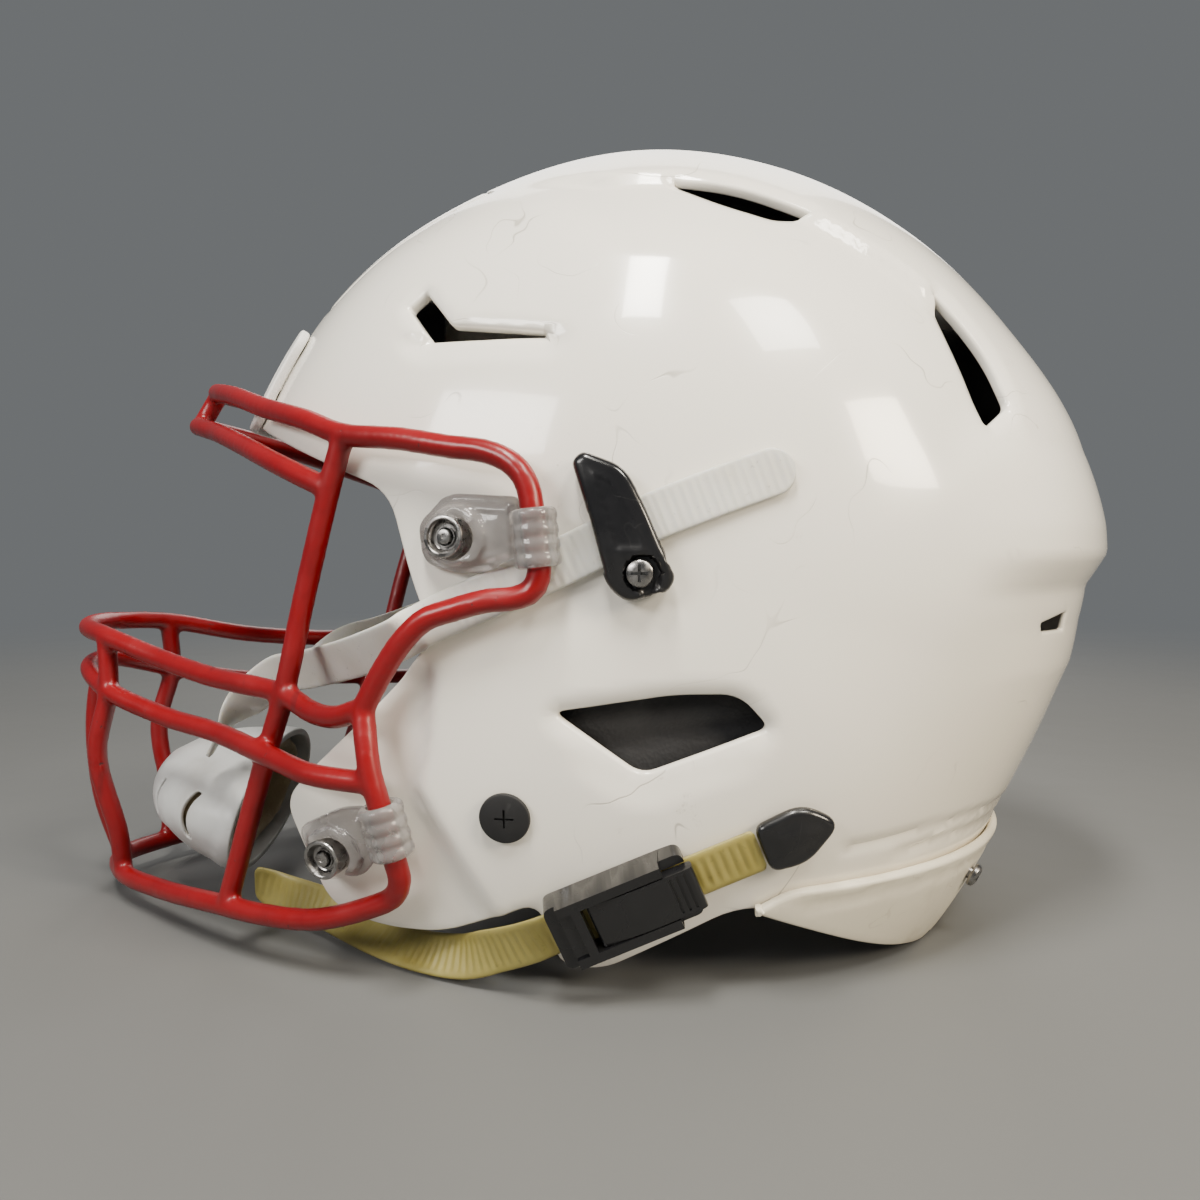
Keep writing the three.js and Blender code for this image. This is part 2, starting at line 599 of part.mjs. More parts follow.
// Local frame of the buckle: x along the strap towards the rear, z out of the shell.
function buckleFrame() {
  const along = new THREE.Vector3(0, Math.cos(STRAP_SLOPE), Math.sin(STRAP_SLOPE));
  const normal = eggNormal(BUCKLE.y, BUCKLE.z);
  const out = normal.addScaledVector(along, -normal.dot(along)).normalize();
  const across = out.clone().cross(along);
  return new THREE.Matrix4().makeBasis(along, across, out).setPosition(onShell(BUCKLE.y, BUCKLE.z));
}

function localBlock(frame, x, y, z) {
  return block(x, y, z).transform(frame.elements);
}

function pinBore(radius, length) {
  const bore = new THREE.CylinderGeometry(radius, radius, length, 12);
  return toSolid(bore.translate(LEVER.pinX, 0, LEVER.pinZ).applyMatrix4(buckleFrame()));
}

function makeBuckleBase() {
  const frame = buckleFrame();
  const { length, width, height, wall, floor } = BUCKLE;
  const inner = width / 2 - wall;
  const tunnel = STRAP.width / 2 + 0.6;
  return toSolid(prism(rectangle(length, width, 2.5), -3, height).applyMatrix4(frame))
    .subtract(egg(GAP))
    .subtract(localBlock(frame, [-30, 30], [-tunnel, tunnel], [3, floor]))
    .subtract(localBlock(frame, [-10, 30], [-inner, inner], [floor - 1, 20]))
    .subtract(localBlock(frame, [13, 30], [-20, 20], [floor + 1, 20]))
    .subtract(pinBore(LEVER.pinRadius + LEVER.clearance, 40));
}

function makeLever() {
  const frame = buckleFrame();
  const half = BUCKLE.width / 2 - BUCKLE.wall - GAP;
  const { pinX, pinZ, length, thickness } = LEVER;
  const profile = [
    [pinX - 2.6, pinZ + 1.6, 1.5], [pinX - 2.2, pinZ - 1.4, 1.2], [pinX + 3, pinZ - 1.5, 1],
    [pinX + length, pinZ - 1.2, 1], [pinX + length, pinZ + thickness - 1.2, 1.5], [pinX + 10, pinZ + 2.7, 3],
  ];
  const body = prism(roundedShape(profile), -half, half).rotateX(Math.PI / 2).applyMatrix4(frame);
  return toSolid(body).subtract(pinBore(LEVER.pinRadius + LEVER.clearance, 40));
}

const makeBucklePin = () => pinBore(LEVER.pinRadius, BUCKLE.width - 0.6);

// ---------------------------------------------------------------- chin cup

function ellipsoid(shrink) {
  const [x, y, z] = CUP.radii.map((radius) => radius - shrink);
  return new THREE.SphereGeometry(1, 18, 10).rotateX(Math.PI / 2).scale(x, y, z);
}

function cupPlace() {
  const tilt = new THREE.Matrix4().makeRotationX(THREE.MathUtils.degToRad(CUP.tilt));
  return tilt.setPosition(0, CUP.y, CUP.z);
}

// An open bowl between two sizes of the cup's ellipsoid, cut off at the rim.
function bowl(outer, inner, rim) {
  const keep = block([-80, 80], [-80, rim], [-60, 60]);
  return toSolid(ellipsoid(outer)).subtract(toSolid(ellipsoid(inner))).intersect(keep);
}

function makeCup() {
  return bowl(0, CUP.wall, CUP.rim).transform(cupPlace().elements);
}

function makeCupPad() {
  const outer = CUP.wall + GAP;
  return bowl(outer, outer + CUP_PAD.thickness, CUP_PAD.rim).transform(cupPlace().elements);
}

// ---------------------------------------------------------------- liner pads

function padLayer(thickness) {
  return layer(-PAD_STANDOFF - thickness, -PAD_STANDOFF, PAD_DETAIL);
}

// Room for the crown panel to flex into.
const panelClearance = () => panelPrism(3, 3).intersect(egg(0).subtract(egg(-SHELL_WALL - 5)));

function makeFrontPad() {
  const outline = [[-62, 150, 6], [62, 150, 6], [66, 196, 12], [-66, 196, 12]];
  return padLayer(PAD_THICKNESS.front).intersect(frontPrism(outline, -140, -40)).subtract(panelClearance());
}

function makeCrownPad() {
  const outline = [[-28, -52, 20], [82, -48, 20], [82, 48, 20], [-28, 52, 20]];
  return padLayer(PAD_THICKNESS.crown).intersect(topPrism(outline, 190, 270));
}

function makeBackPad() {
  const outline = [[-58, 100, 12], [58, 100, 12], [50, 190, 12], [-50, 190, 12]];
  return padLayer(PAD_THICKNESS.back).intersect(frontPrism(outline, 60, 200));
}

function makeNeckPad() {
  const outline = [[-60, 20, 6], [60, 20, 6], [62, 88, 6], [-62, 88, 6]];
  return padLayer(PAD_THICKNESS.neck).intersect(frontPrism(outline, 60, 200));
}

function makeSidePad() {
  const outline = [
    [-36, 128, 8], [84, 104, 8], [90, 176, 12], [56, 205, 10], [-10, 176, 10], [-38, 160, 8],
  ];
  return padLayer(PAD_THICKNESS.side).intersect(sidePrism(outline, 55, 150));
}

function makeJawPad() {
  const outline = [
    [-76, 52, 6], [-66, 26, 6], [-4, 34, 6], [34, 50, 6], [56, 66, 6], [56, 92, 4], [-34, 94, 4],
  ];
  return padLayer(PAD_THICKNESS.jaw).intersect(sidePrism(outline, 40, 150));
}

// ---------------------------------------------------------------- bumper screws

function browScrewFrame() {
  const angle = Math.atan2(BROW_SCREW.z - EGG_CENTRE.z, BROW_SCREW.y - EGG_CENTRE.y);
  const radius = rimRadius(angle);
  const out = new THREE.Vector3(0, Math.cos(angle), Math.sin(angle));
  const up = new THREE.Vector3(0, -Math.sin(angle), Math.cos(angle)).negate();
  const side = up.clone().cross(out);
  return new THREE.Matrix4().makeBasis(side, up, out)
    .setPosition(0, EGG_CENTRE.y + radius * out.y, EGG_CENTRE.z + radius * out.z);
}

function bumperScrewHoles() {
  const radius = SCREW.shaft + GAP;
  const hole = new THREE.CylinderGeometry(radius, radius, 30, 12).rotateX(Math.PI / 2);
  const brow = toSolid(hole.applyMatrix4(browScrewFrame()));
  return brow.add(fastenerHole(REAR_SCREW.y, REAR_SCREW.z, radius));
}

// ---------------------------------------------------------------- assembly

const helmet = new THREE.Group();

function material(name) {
  const [color, roughness, metalness] = COLOURS[name];
  return new THREE.MeshStandardMaterial({ color, roughness, metalness });
}

function add(name, geometry, colour) {
  const mesh = new THREE.Mesh(geometry, material(colour));
  mesh.name = name;
  helmet.add(mesh);
}

function addPair(name, leftGeometry, colour) {
  add(`${name}_left`, leftGeometry, colour);
  add(`${name}_right`, mirrored(leftGeometry), colour);
}

function placedTurned(profile, sides, frame) {
  return toGeometry(toSolid(turned(profile, sides).applyMatrix4(frame)));
}

function addQuickRelease(level, place) {
  const frame = shellFrame(place.y, place.z);
  addPair(`quick_release_housing_${level}`, placedTurned(dishProfile(), 20, frame), 'metal');
  addPair(`quick_release_button_${level}`, placedTurned(buttonProfile(), 12, frame), 'metal');
  const nut = nutProfile(SHELL_NUT, QUICK_RELEASE.stem);
  addPair(`quick_release_nut_${level}`, placedTurned(nut, 16, frame), 'metal');
}

add('shell', toGeometry(makeShell()), 'shell');
add('flex_panel', toGeometry(makePanel()), 'shell');
add('brow_bumper', toGeometry(makeBrowBumper()), 'brow');
add('rear_bumper', toGeometry(makeRearBumper()), 'bumper');
add('facemask', toGeometry(makeFacemask()), 'mask');
addPair('clip_upper', toGeometry(makeUpperClip()), 'clip');
addPair('clip_lower', toGeometry(makeLowerClip()), 'clip');
addQuickRelease('upper', UPPER_CLIP);
addQuickRelease('lower', LOWER_CLIP);

const keeperFrame = shellFrame(KEEPER.screwY, KEEPER.screwZ);
addPair('strap_keeper', toGeometry(makeKeeper()), 'black');
addPair('keeper_screw', placedTurned(screwProfile(5.7, -7.8), 16, keeperFrame), 'metal');
addPair('keeper_nut', placedTurned(nutProfile(KEEPER_NUT, SCREW.shaft), 16, keeperFrame), 'metal');

addPair('buckle_base', toGeometry(makeBuckleBase()), 'black');
addPair('buckle_lever', toGeometry(makeLever()), 'black');
addPair('buckle_pin', toGeometry(makeBucklePin()), 'metal');
addPair('upper_strap', toGeometry(toSolid(makeUpperStrap())), 'upperStrap');
addPair('lower_strap', toGeometry(toSolid(makeLowerStrap())), 'lowerStrap');
addPair('strap_end_cap', toGeometry(makeEndCap()), 'black');
add('chin_cup', toGeometry(makeCup()), 'cup');
add('chin_cup_pad', toGeometry(makeCupPad()), 'cupPad');

add('front_pad', toGeometry(makeFrontPad()), 'pad');
add('crown_pad', toGeometry(makeCrownPad()), 'pad');
add('back_pad', toGeometry(makeBackPad()), 'pad');
add('neck_pad', toGeometry(makeNeckPad()), 'pad');
addPair('side_pad', toGeometry(makeSidePad()), 'pad');
addPair('jaw_pad', toGeometry(makeJawPad()), 'pad');
addPair('jaw_plug', placedTurned(plugProfile(), 20, shellFrame(PLUG.y, PLUG.z)), 'plug');

const bumperScrew = screwProfile(GAP + 3.6, -6);
add('brow_bumper_screw', placedTurned(bumperScrew, 14, browScrewFrame()), 'metal');
addPair('rear_bumper_screw', placedTurned(bumperScrew, 14, shellFrame(REAR_SCREW.y, REAR_SCREW.z)), 'metal');

helmet.position.set(0, LENGTH_SHIFT, 0);

export default helmet;
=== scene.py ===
# Blender look of an american football helmet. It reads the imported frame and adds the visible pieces.
# Dimensions are millimetres in the part's own frame (wearer faces -Y, left is +X, +Z up);
# mesh() turns them into metres in the row frame.
import math
import bmesh
import bpy
import numpy as np
from mathutils import Matrix, Vector, noise
from mathutils.geometry import delaunay_2d_cdt


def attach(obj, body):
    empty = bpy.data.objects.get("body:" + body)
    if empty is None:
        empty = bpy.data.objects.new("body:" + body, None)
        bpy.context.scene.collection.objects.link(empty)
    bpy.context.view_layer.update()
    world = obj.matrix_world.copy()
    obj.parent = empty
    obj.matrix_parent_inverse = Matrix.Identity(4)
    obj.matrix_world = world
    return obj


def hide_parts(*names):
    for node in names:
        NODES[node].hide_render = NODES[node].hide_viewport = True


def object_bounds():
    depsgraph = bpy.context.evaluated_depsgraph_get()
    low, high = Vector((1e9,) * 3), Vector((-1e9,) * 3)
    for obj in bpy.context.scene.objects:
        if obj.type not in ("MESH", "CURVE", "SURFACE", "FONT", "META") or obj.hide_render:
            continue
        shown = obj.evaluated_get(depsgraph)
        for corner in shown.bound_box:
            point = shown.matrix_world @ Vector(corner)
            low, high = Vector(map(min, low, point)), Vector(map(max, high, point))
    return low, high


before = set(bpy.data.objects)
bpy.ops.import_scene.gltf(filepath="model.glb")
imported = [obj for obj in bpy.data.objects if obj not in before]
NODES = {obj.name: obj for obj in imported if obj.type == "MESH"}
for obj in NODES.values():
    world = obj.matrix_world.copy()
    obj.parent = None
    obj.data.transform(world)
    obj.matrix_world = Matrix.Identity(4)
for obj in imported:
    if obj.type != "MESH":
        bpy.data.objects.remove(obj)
CAD_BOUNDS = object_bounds()

# ---------------------------------------------------------------- driving dimensions

MM = 0.001
LENGTH_SHIFT = 4  # the part frame's y plus this is the row frame's y
EGG_CENTRE = (40, 110)
EGG_HALF_WIDTH = 118
WIDTH_POWER = 2.1
DISC_SCALE = 1.4
RIM_RADII = np.array([
    131, 132.5, 129, 131, 136, 142, 146.5, 153, 157.5, 165, 195, 212, 200, 180, 160, 141, 126.5, 124,
])
SHELL_WALL = 4
GAP = 0.4

# Outlines seen from the side as (y, z, corner radius).
SHELL_OUTLINE = [
    (-160, 178, 0), (-109, 160, 20), (-77, 146, 30), (-53, 136.5, 8), (-46, 112, 20),
    (-39.5, 97, 8), (-56, 79, 20), (-78, 58, 10), (-87, 48, 8), (-73, 17, 8),
    (-57, 12.5, 10), (-38, 12.5, 10), (-12, 25.5, 6), (-6, 6, 6), (6, 5, 6),
    (44, 25.5, 10), (90, 11, 20), (120, 7, 0), (190, 7, 0), (190, 275, 0), (-160, 275, 0),
]
FRONT_VENT = [(-50, 189, 1), (-45, 193.5, 1), (-36.5, 182.5, 1), (-10, 179, 0.6), (-43, 179.5, 1)]
REAR_VENT = [
    (100.5, 193.5, 1), (109.5, 184, 6), (117, 173.5, 6), (121.5, 161, 2), (113, 155, 2), (109, 169, 8),
]
EAR_OPENING = [(-7.5, 78, 3), (24, 83, 6), (41, 83, 5), (49, 74, 3), (15.5, 61.5, 4)]
SMALL_VENT = [(133.5, 98.5, 0.6), (146, 101, 0.6), (145, 95.5, 0.6), (134, 96, 0.6)]
TOP_VENT = [(26, 227.5, 0.6), (46, 224, 8), (65, 216.5, 0.6), (54, 215.5, 3), (39, 220.5, 8)]
REAR_BUMPER = [
    (46, 25, 1), (56, 30.5, 6), (97, 32.5, 20), (190, 31, 0), (190, 0, 0),
    (108, 0, 20), (90, 6, 12), (62, 18.5, 12),
]
PANEL = dict(angle=133, half_length=31, front=36, rear=44, corner=9, slit=1.2, hinge_slit=0.7)
BROW_BUMPER = dict(half_width=40, low=157, high=188, corner=8, thickness=3)
BROW_SLOT = dict(x=33.5, width=3.2, low=170, high=182)

STRAP_SLOPE = math.radians(22.5)
STRAP = dict(width=12.4, thickness=2, lift=1.7, rear_end=39)
BUCKLE = dict(y=10.6, z=28.5, length=39, width=19, height=11, wall=2.8, strap=4.7, floor=6.4)
LEVER = dict(x=-6, z=8.4, length=27, thickness=3.6, pin=1.2)
KEEPER = dict(y=15.7, z=115.2, low=0.9, height=8.2, seat=5.4, clearance=1.4)
CORRIDOR = dict(y=9.5, z=125.3, half=8.7, slope=STRAP_SLOPE + 0.06)
UPPER_CLIP = (-33.3, 123.8)
LOWER_CLIP = (-68.5, 36.6)
QUICK_RELEASE = dict(dish=5.6, stem=3, top=7.4, tip=-7.6, bore=2.4, floor=1.6, button=2, travel=1.6)
SCREW = dict(head=3.6, height=2.2, shaft=2)
PLUG = dict(y=-20, z=50.2, radius=6.9, height=1.9, stem=4, tip=-5.5)
BROW_SCREW = (-104, 172)
REAR_SCREW = (116, 22)
CUP = dict(y=-110, z=28.5, radii=(49, 43, 24), wall=2.6, rim=-2, tilt=-14)
WIRE_RADIUS = 3.25


# ---------------------------------------------------------------- camera, floor and light

def make_camera():
    """The photograph's view: from the left, a little above, from close by."""
    target = Vector((0, 0.009, 0.1))
    distance = 0.415
    elevation = math.radians(4)
    data = bpy.data.cameras.new("camera")
    data.lens = 35
    data.sensor_width = 36
    data.clip_start = 0.01
    camera = bpy.data.objects.new("camera", data)
    bpy.context.scene.collection.objects.link(camera)
    offset = Vector((math.cos(elevation), 0, math.sin(elevation))) * distance
    camera.location = target + offset
    camera.rotation_euler = offset.to_track_quat("Z", "Y").to_euler()
    bpy.context.scene.camera = camera


def area_light(name, location, target, size, power, colour=(1, 1, 1)):
    data = bpy.data.lights.new(name, "AREA")
    data.shape = "RECTANGLE"
    data.size, data.size_y = size
    data.energy = power
    data.color = colour
    light = bpy.data.objects.new(name, data)
    bpy.context.scene.collection.objects.link(light)
    light.location = location
    direction = Vector(location) - Vector(target)
    light.rotation_euler = direction.to_track_quat("Z", "Y").to_euler()


BACKDROP = (0.155, 0.163, 0.168)


def make_lights():
    middle = (0, 0, 0.12)
    area_light("window", (0.5, -0.12, 1.15), middle, (0.16, 0.5), 17, (1, 0.96, 0.88))
    area_light("crown_window", (0.62, 0.42, 1.0), middle, (0.3, 0.3), 9, (1, 0.95, 0.85))
    area_light("front_window", (0.95, -0.95, 0.75), middle, (0.7, 0.35), 13, (1, 0.97, 0.93))
    area_light("rear_window", (0.75, 0.95, 0.62), middle, (0.35, 0.35), 14, (1, 0.87, 0.68))
    area_light("far_side", (-1.4, 0.1, 1.1), middle, (1.2, 1.2), 12, (1, 0.97, 0.92))
    world = bpy.data.worlds.new("studio")
    bpy.context.scene.world = world
    world.use_nodes = True
    background = world.node_tree.nodes["Background"]
    background.inputs["Color"].default_value = (*BACKDROP, 1)
    background.inputs["Strength"].default_value = 1


# ---------------------------------------------------------------- node materials

class Look:
    """A material built from nodes on object coordinates."""

    def __init__(self, name, colour, roughness, metallic=0.0, **sockets):
        self.material = bpy.data.materials.new(name)
        self.material.use_nodes = True
        self.tree = self.material.node_tree
        self.shader = self.tree.nodes["Principled BSDF"]
        self.shader.inputs["Base Color"].default_value = (*colour, 1)
        self.shader.inputs["Roughness"].default_value = roughness
        self.shader.inputs["Metallic"].default_value = metallic
        for socket, value in sockets.items():
            self.shader.inputs[socket.replace("_", " ")].default_value = value
        self.place = self.node("ShaderNodeTexCoord").outputs["Object"]
        self.colour = tuple(colour)
        self.bumps = None

    def node(self, kind, **settings):
        made = self.tree.nodes.new(kind)
        for key, value in settings.items():
            setattr(made, key, value)
        return made

    def link(self, source, target):
        self.tree.links.new(source, target)

    def stretched(self, scale, turn=(0, 0, 0)):
        mapping = self.node("ShaderNodeMapping")
        mapping.inputs["Scale"].default_value = scale
        mapping.inputs["Rotation"].default_value = turn
        self.link(self.place, mapping.inputs["Vector"])
        return mapping.outputs["Vector"]

    def noise(self, scale, detail=3, vector=None, rough=0.5):
        made = self.node("ShaderNodeTexNoise")
        made.inputs["Scale"].default_value = scale
        made.inputs["Detail"].default_value = detail
        made.inputs["Roughness"].default_value = rough
        self.link(vector or self.place, made.inputs["Vector"])
        return made.outputs["Fac"]

    def ramp(self, value, low, high, start=0.0, end=1.0):
        made = self.node("ShaderNodeMapRange", interpolation_type="SMOOTHSTEP")
        for socket, number in zip(("From Min", "From Max", "To Min", "To Max"), (low, high, start, end)):
            made.inputs[socket].default_value = number
        self.link(value, made.inputs["Value"])
        return made.outputs["Result"]

    def math(self, operation, a, b):
        made = self.node("ShaderNodeMath", operation=operation)
        for socket, value in zip(made.inputs, (a, b)):
            if isinstance(value, (int, float)):
                socket.default_value = value
            else:
                self.link(value, socket)
        return made.outputs["Value"]

    def mix(self, factor, base, colour):
        made = self.node("ShaderNodeMix", data_type="RGBA")
        if base is None:
            made.inputs["A"].default_value = (*self.colour, 1)
        else:
            self.link(base, made.inputs["A"])
        made.inputs["B"].default_value = (*colour, 1)
        self.link(factor, made.inputs["Factor"])
        return made.outputs["Result"]

    def paint(self, colour):
        self.link(colour, self.shader.inputs["Base Color"])

    def rough(self, value):
        self.link(value, self.shader.inputs["Roughness"])

    def bump(self, height, strength, distance):
        made = self.node("ShaderNodeBump")
        made.inputs["Strength"].default_value = strength
        made.inputs["Distance"].default_value = distance
        self.link(height, made.inputs["Height"])
        if self.bumps:
            self.link(self.bumps, made.inputs["Normal"])
        self.bumps = made.outputs["Normal"]
        self.link(self.bumps, self.shader.inputs["Normal"])

    def axis(self, name):
        split = self.node("ShaderNodeSeparateXYZ")
        self.link(self.place, split.inputs["Vector"])
        return split.outputs[name]

    def scratches(self, scale, thinness, turn, patch):
        """Thin curved lines where a slow noise crosses its middle, only inside some patches."""
        lines = self.noise(scale, 1.5, self.stretched((1, 1, 1), turn), 0.4)
        distance = self.math("ABSOLUTE", self.math("SUBTRACT", lines, 0.5), 0)
        line = self.ramp(distance, thinness, 0, 0, 1)
        region = self.ramp(self.noise(patch, 2, self.stretched((1, 1, 1), (turn[1], turn[2], 1))), 0.56, 0.66)
        return self.math("MULTIPLY", line, region)


def shell_look():
    look = Look("shell_white", (0.92, 0.88, 0.79), 0.2, Coat_Weight=0.6, Coat_Roughness=0.05)
    # Painted shade: the shell is painted darker and warmer toward the rear and the bottom, where it sits close to the
    # floor.
    rearward = look.ramp(look.axis("Y"), 0.0, 0.17)
    downward = look.ramp(look.axis("Z"), 0.16, 0.02)
    painted_rear_shade = look.math("MULTIPLY", look.math("MULTIPLY", rearward, downward), 0.75)
    colour = look.mix(painted_rear_shade, None, (0.84, 0.74, 0.55))
    cloud = look.ramp(look.noise(14, 3), 0.35, 0.8, 0, 0.15)
    colour = look.mix(cloud, colour, (0.78, 0.76, 0.70))
    marks = look.math("MAXIMUM", look.scratches(22, 0.004, (0.3, 0.8, 0.1), 16),
                      look.scratches(46, 0.006, (1.1, 0.2, 0.7), 24))
    scuff = look.math("MULTIPLY", look.ramp(look.noise(160, 4, rough=0.7), 0.62, 0.72),
                      look.ramp(look.noise(19, 2), 0.58, 0.68))
    colour = look.mix(look.math("MULTIPLY", marks, 0.75), colour, (0.42, 0.39, 0.33))
    colour = look.mix(look.math("MULTIPLY", scuff, 0.5), colour, (0.42, 0.38, 0.30))
    look.paint(colour)
    look.rough(look.math("ADD", look.math("MULTIPLY", look.math("MAXIMUM", marks, scuff), 0.3),
                         look.ramp(look.noise(30, 3), 0.3, 0.8, 0.16, 0.26)))
    look.bump(marks, 0.35, -0.0002)
    look.bump(look.noise(220, 2), 0.03, 0.0002)
    return look.material


def plain_plastic(name, colour, roughness, dirt=(0.3, 0.27, 0.2), dirt_share=0.25, grain=700, **sockets):
    look = Look(name, colour, roughness, **sockets)
    patch = look.ramp(look.noise(45, 4, rough=0.6), 0.5, 0.75, 0, dirt_share)
    colour = look.mix(patch, None, dirt)
    scratch = look.scratches(90, 0.012, (0.5, 0.2, 0.9), 60)
    colour = look.mix(look.math("MULTIPLY", scratch, 0.35), colour, dirt)
    look.paint(colour)
    look.rough(look.ramp(look.noise(60, 3), 0.3, 0.75, max(0.03, roughness - 0.06), roughness + 0.14))
    look.bump(look.noise(grain, 2), 0.08, 0.0001)
    look.bump(scratch, 0.25, -0.0001)
    return look.material


def mask_look():
    look = Look("mask_red", (0.24, 0.002, 0.005), 0.38, Coat_Weight=0.12, Coat_Roughness=0.25)
    colour = look.mix(look.ramp(look.noise(38, 3), 0.4, 0.75, 0, 0.55), None, (0.15, 0.002, 0.004))
    chips = look.math("MULTIPLY", look.ramp(look.noise(330, 4, rough=0.7), 0.64, 0.7),
                      look.ramp(look.noise(34, 2), 0.52, 0.62))
    rubs = look.math("MULTIPLY", look.ramp(look.noise(60, 4, look.stretched((1, 5, 1))), 0.6, 0.72),
                     look.ramp(look.noise(21, 2), 0.5, 0.62))
    colour = look.mix(look.math("MULTIPLY", rubs, 0.65), colour, (0.11, 0.006, 0.008))
    colour = look.mix(look.math("MULTIPLY", chips, 0.9), colour, (0.035, 0.012, 0.012))
    look.paint(colour)
    look.rough(look.math("ADD", look.ramp(look.noise(90, 3), 0.3, 0.8, 0.28, 0.46),
                         look.math("MULTIPLY", chips, 0.25)))
    look.bump(look.noise(130, 3), 0.16, 0.0006)
    look.bump(chips, 0.4, -0.0003)
    return look.material


def clip_look():
    look = Look("clip_clear", (0.66, 0.64, 0.63), 0.14, Transmission_Weight=0.8, IOR=1.47)
    smoke = look.ramp(look.noise(70, 4), 0.35, 0.75, 0, 0.5)
    look.paint(look.mix(smoke, None, (0.42, 0.39, 0.38)))
    look.rough(look.ramp(look.noise(110, 3), 0.3, 0.75, 0.08, 0.3))
    look.bump(look.noise(160, 3), 0.2, 0.0006)
    return look.material


def metal_look():
    look = Look("dark_metal", (0.34, 0.33, 0.32), 0.3, 1.0)
    look.paint(look.mix(look.ramp(look.noise(300, 4), 0.45, 0.7, 0, 0.7), None, (0.14, 0.13, 0.125)))
    look.rough(look.ramp(look.noise(420, 3), 0.3, 0.75, 0.2, 0.45))
    look.bump(look.noise(900, 2), 0.06, 0.0001)
    return look.material


def strap_look(name, colour, dark, transmission):
    look = Look(name, colour, 0.45, Transmission_Weight=transmission, Subsurface_Weight=0.15)
    look.shader.inputs["Subsurface Radius"].default_value = (0.004, 0.003, 0.001)
    tone = look.mix(look.ramp(look.noise(55, 4), 0.35, 0.75, 0, 0.7), None, dark)
    fleck = look.ramp(look.noise(420, 3, rough=0.7), 0.62, 0.72, 0, 0.35)
    look.paint(look.mix(fleck, tone, tuple(0.45 * value for value in dark)))
    look.rough(look.ramp(look.noise(130, 3), 0.3, 0.75, 0.34, 0.6))
    look.bump(look.noise(900, 3), 0.15, 0.0002)
    return look.material


def liner_look(name, colour, dust):
    look = Look(name, colour, 0.78, Sheen_Weight=0.25, Sheen_Roughness=0.5)
    weave = look.node("ShaderNodeTexVoronoi", feature="F1")
    weave.inputs["Scale"].default_value = 900
    look.link(look.place, weave.inputs["Vector"])
    look.paint(look.mix(look.ramp(look.noise(36, 4), 0.45, 0.75, 0, 0.35), None, dust))
    look.rough(look.ramp(look.noise(60, 3), 0.3, 0.75, 0.66, 0.9))
    look.bump(weave.outputs["Distance"], 0.35, 0.0004)
    look.bump(look.noise(70, 3), 0.25, 0.0012)
    return look.material


def floor_look():
    """A grey floor that fades into the backdrop well away from the helmet."""
    look = Look("floor", (0.135, 0.137, 0.135), 0.6)
    far = look.node("ShaderNodeVectorMath", operation="LENGTH")
    look.link(look.place, far.inputs[0])
    fade = look.ramp(far.outputs["Value"], 0.35, 1.3)
    mottled = look.mix(look.ramp(look.noise(3, 3), 0.35, 0.7, 0, 0.5), None, (0.12, 0.122, 0.12))
    look.paint(look.mix(fade, mottled, (0, 0, 0)))
    look.rough(look.ramp(look.noise(12, 3), 0.3, 0.8, 0.55, 0.68))
    look.link(look.ramp(fade, 0, 1, 0.35, 0), look.shader.inputs["Specular IOR Level"])
    look.shader.inputs["Emission Color"].default_value = (*BACKDROP, 1)
    look.link(fade, look.shader.inputs["Emission Strength"])
    return look.material


LOOKS = {
    "shell_white": shell_look(),
    "brow_white": plain_plastic("brow_white", (0.82, 0.81, 0.77), 0.36, (0.5, 0.47, 0.4)),
    "bumper_ivory": plain_plastic("bumper_ivory", (0.78, 0.72, 0.58), 0.34, (0.52, 0.46, 0.34), 0.4),
    "mask_red": mask_look(),
    "clip_clear": clip_look(),
    "dark_metal": metal_look(),
    "gloss_black": plain_plastic("gloss_black", (0.007, 0.007, 0.008), 0.24, (0.02, 0.02, 0.02), 0.1,
                                 Coat_Weight=0.3, Coat_Roughness=0.06),
    "matte_black": plain_plastic("matte_black", (0.012, 0.012, 0.013), 0.5, (0.04, 0.04, 0.04), 0.2),
    "strap_white": strap_look("strap_white", (0.78, 0.77, 0.71), (0.64, 0.61, 0.53), 0.12),
    "strap_yellowed": strap_look("strap_yellowed", (0.50, 0.43, 0.13), (0.33, 0.27, 0.06), 0.4),
    "liner_black": liner_look("liner_black", (0.014, 0.014, 0.016), (0.045, 0.044, 0.044)),
    "cup_grey": plain_plastic("cup_grey", (0.60, 0.61, 0.60), 0.38, (0.42, 0.40, 0.36), 0.45),
    "cup_padding": liner_look("cup_padding", (0.52, 0.43, 0.27), (0.40, 0.32, 0.18)),
}


# ---------------------------------------------------------------- the egg

def rim_radius(angle):
    count = len(RIM_RADII)
    place = np.mod(angle / (2 * math.pi), 1) * count
    i = np.floor(place).astype(int)
    t = place - i
    a, b, c, d = (RIM_RADII[(i + k) % count] for k in (-1, 0, 1, 2))
    return b + 0.5 * t * (c - a + t * (2 * a - 5 * b + 4 * c - d + t * (3 * (b - c) + d - a)))


def half_width(reach, angle, grow):
    power = 2.2 - 0.25 * np.cos(2 * angle)
    return (EGG_HALF_WIDTH + grow) * np.maximum(0, 1 - reach ** power) ** (1 / WIDTH_POWER)


def polar(y, z):
    dy, dz = np.asarray(y) - EGG_CENTRE[0], np.asarray(z) - EGG_CENTRE[1]
    return np.arctan2(dz, dy), np.hypot(dy, dz)


def side_x(y, z, grow=0):
    """Half width of the egg at a side-view place."""
    angle, reach = polar(y, z)
    return half_width(reach / (rim_radius(angle) + grow), angle, grow)


def side_surface(places, grow):
    return np.column_stack([side_x(places[:, 0], places[:, 1], grow), places])


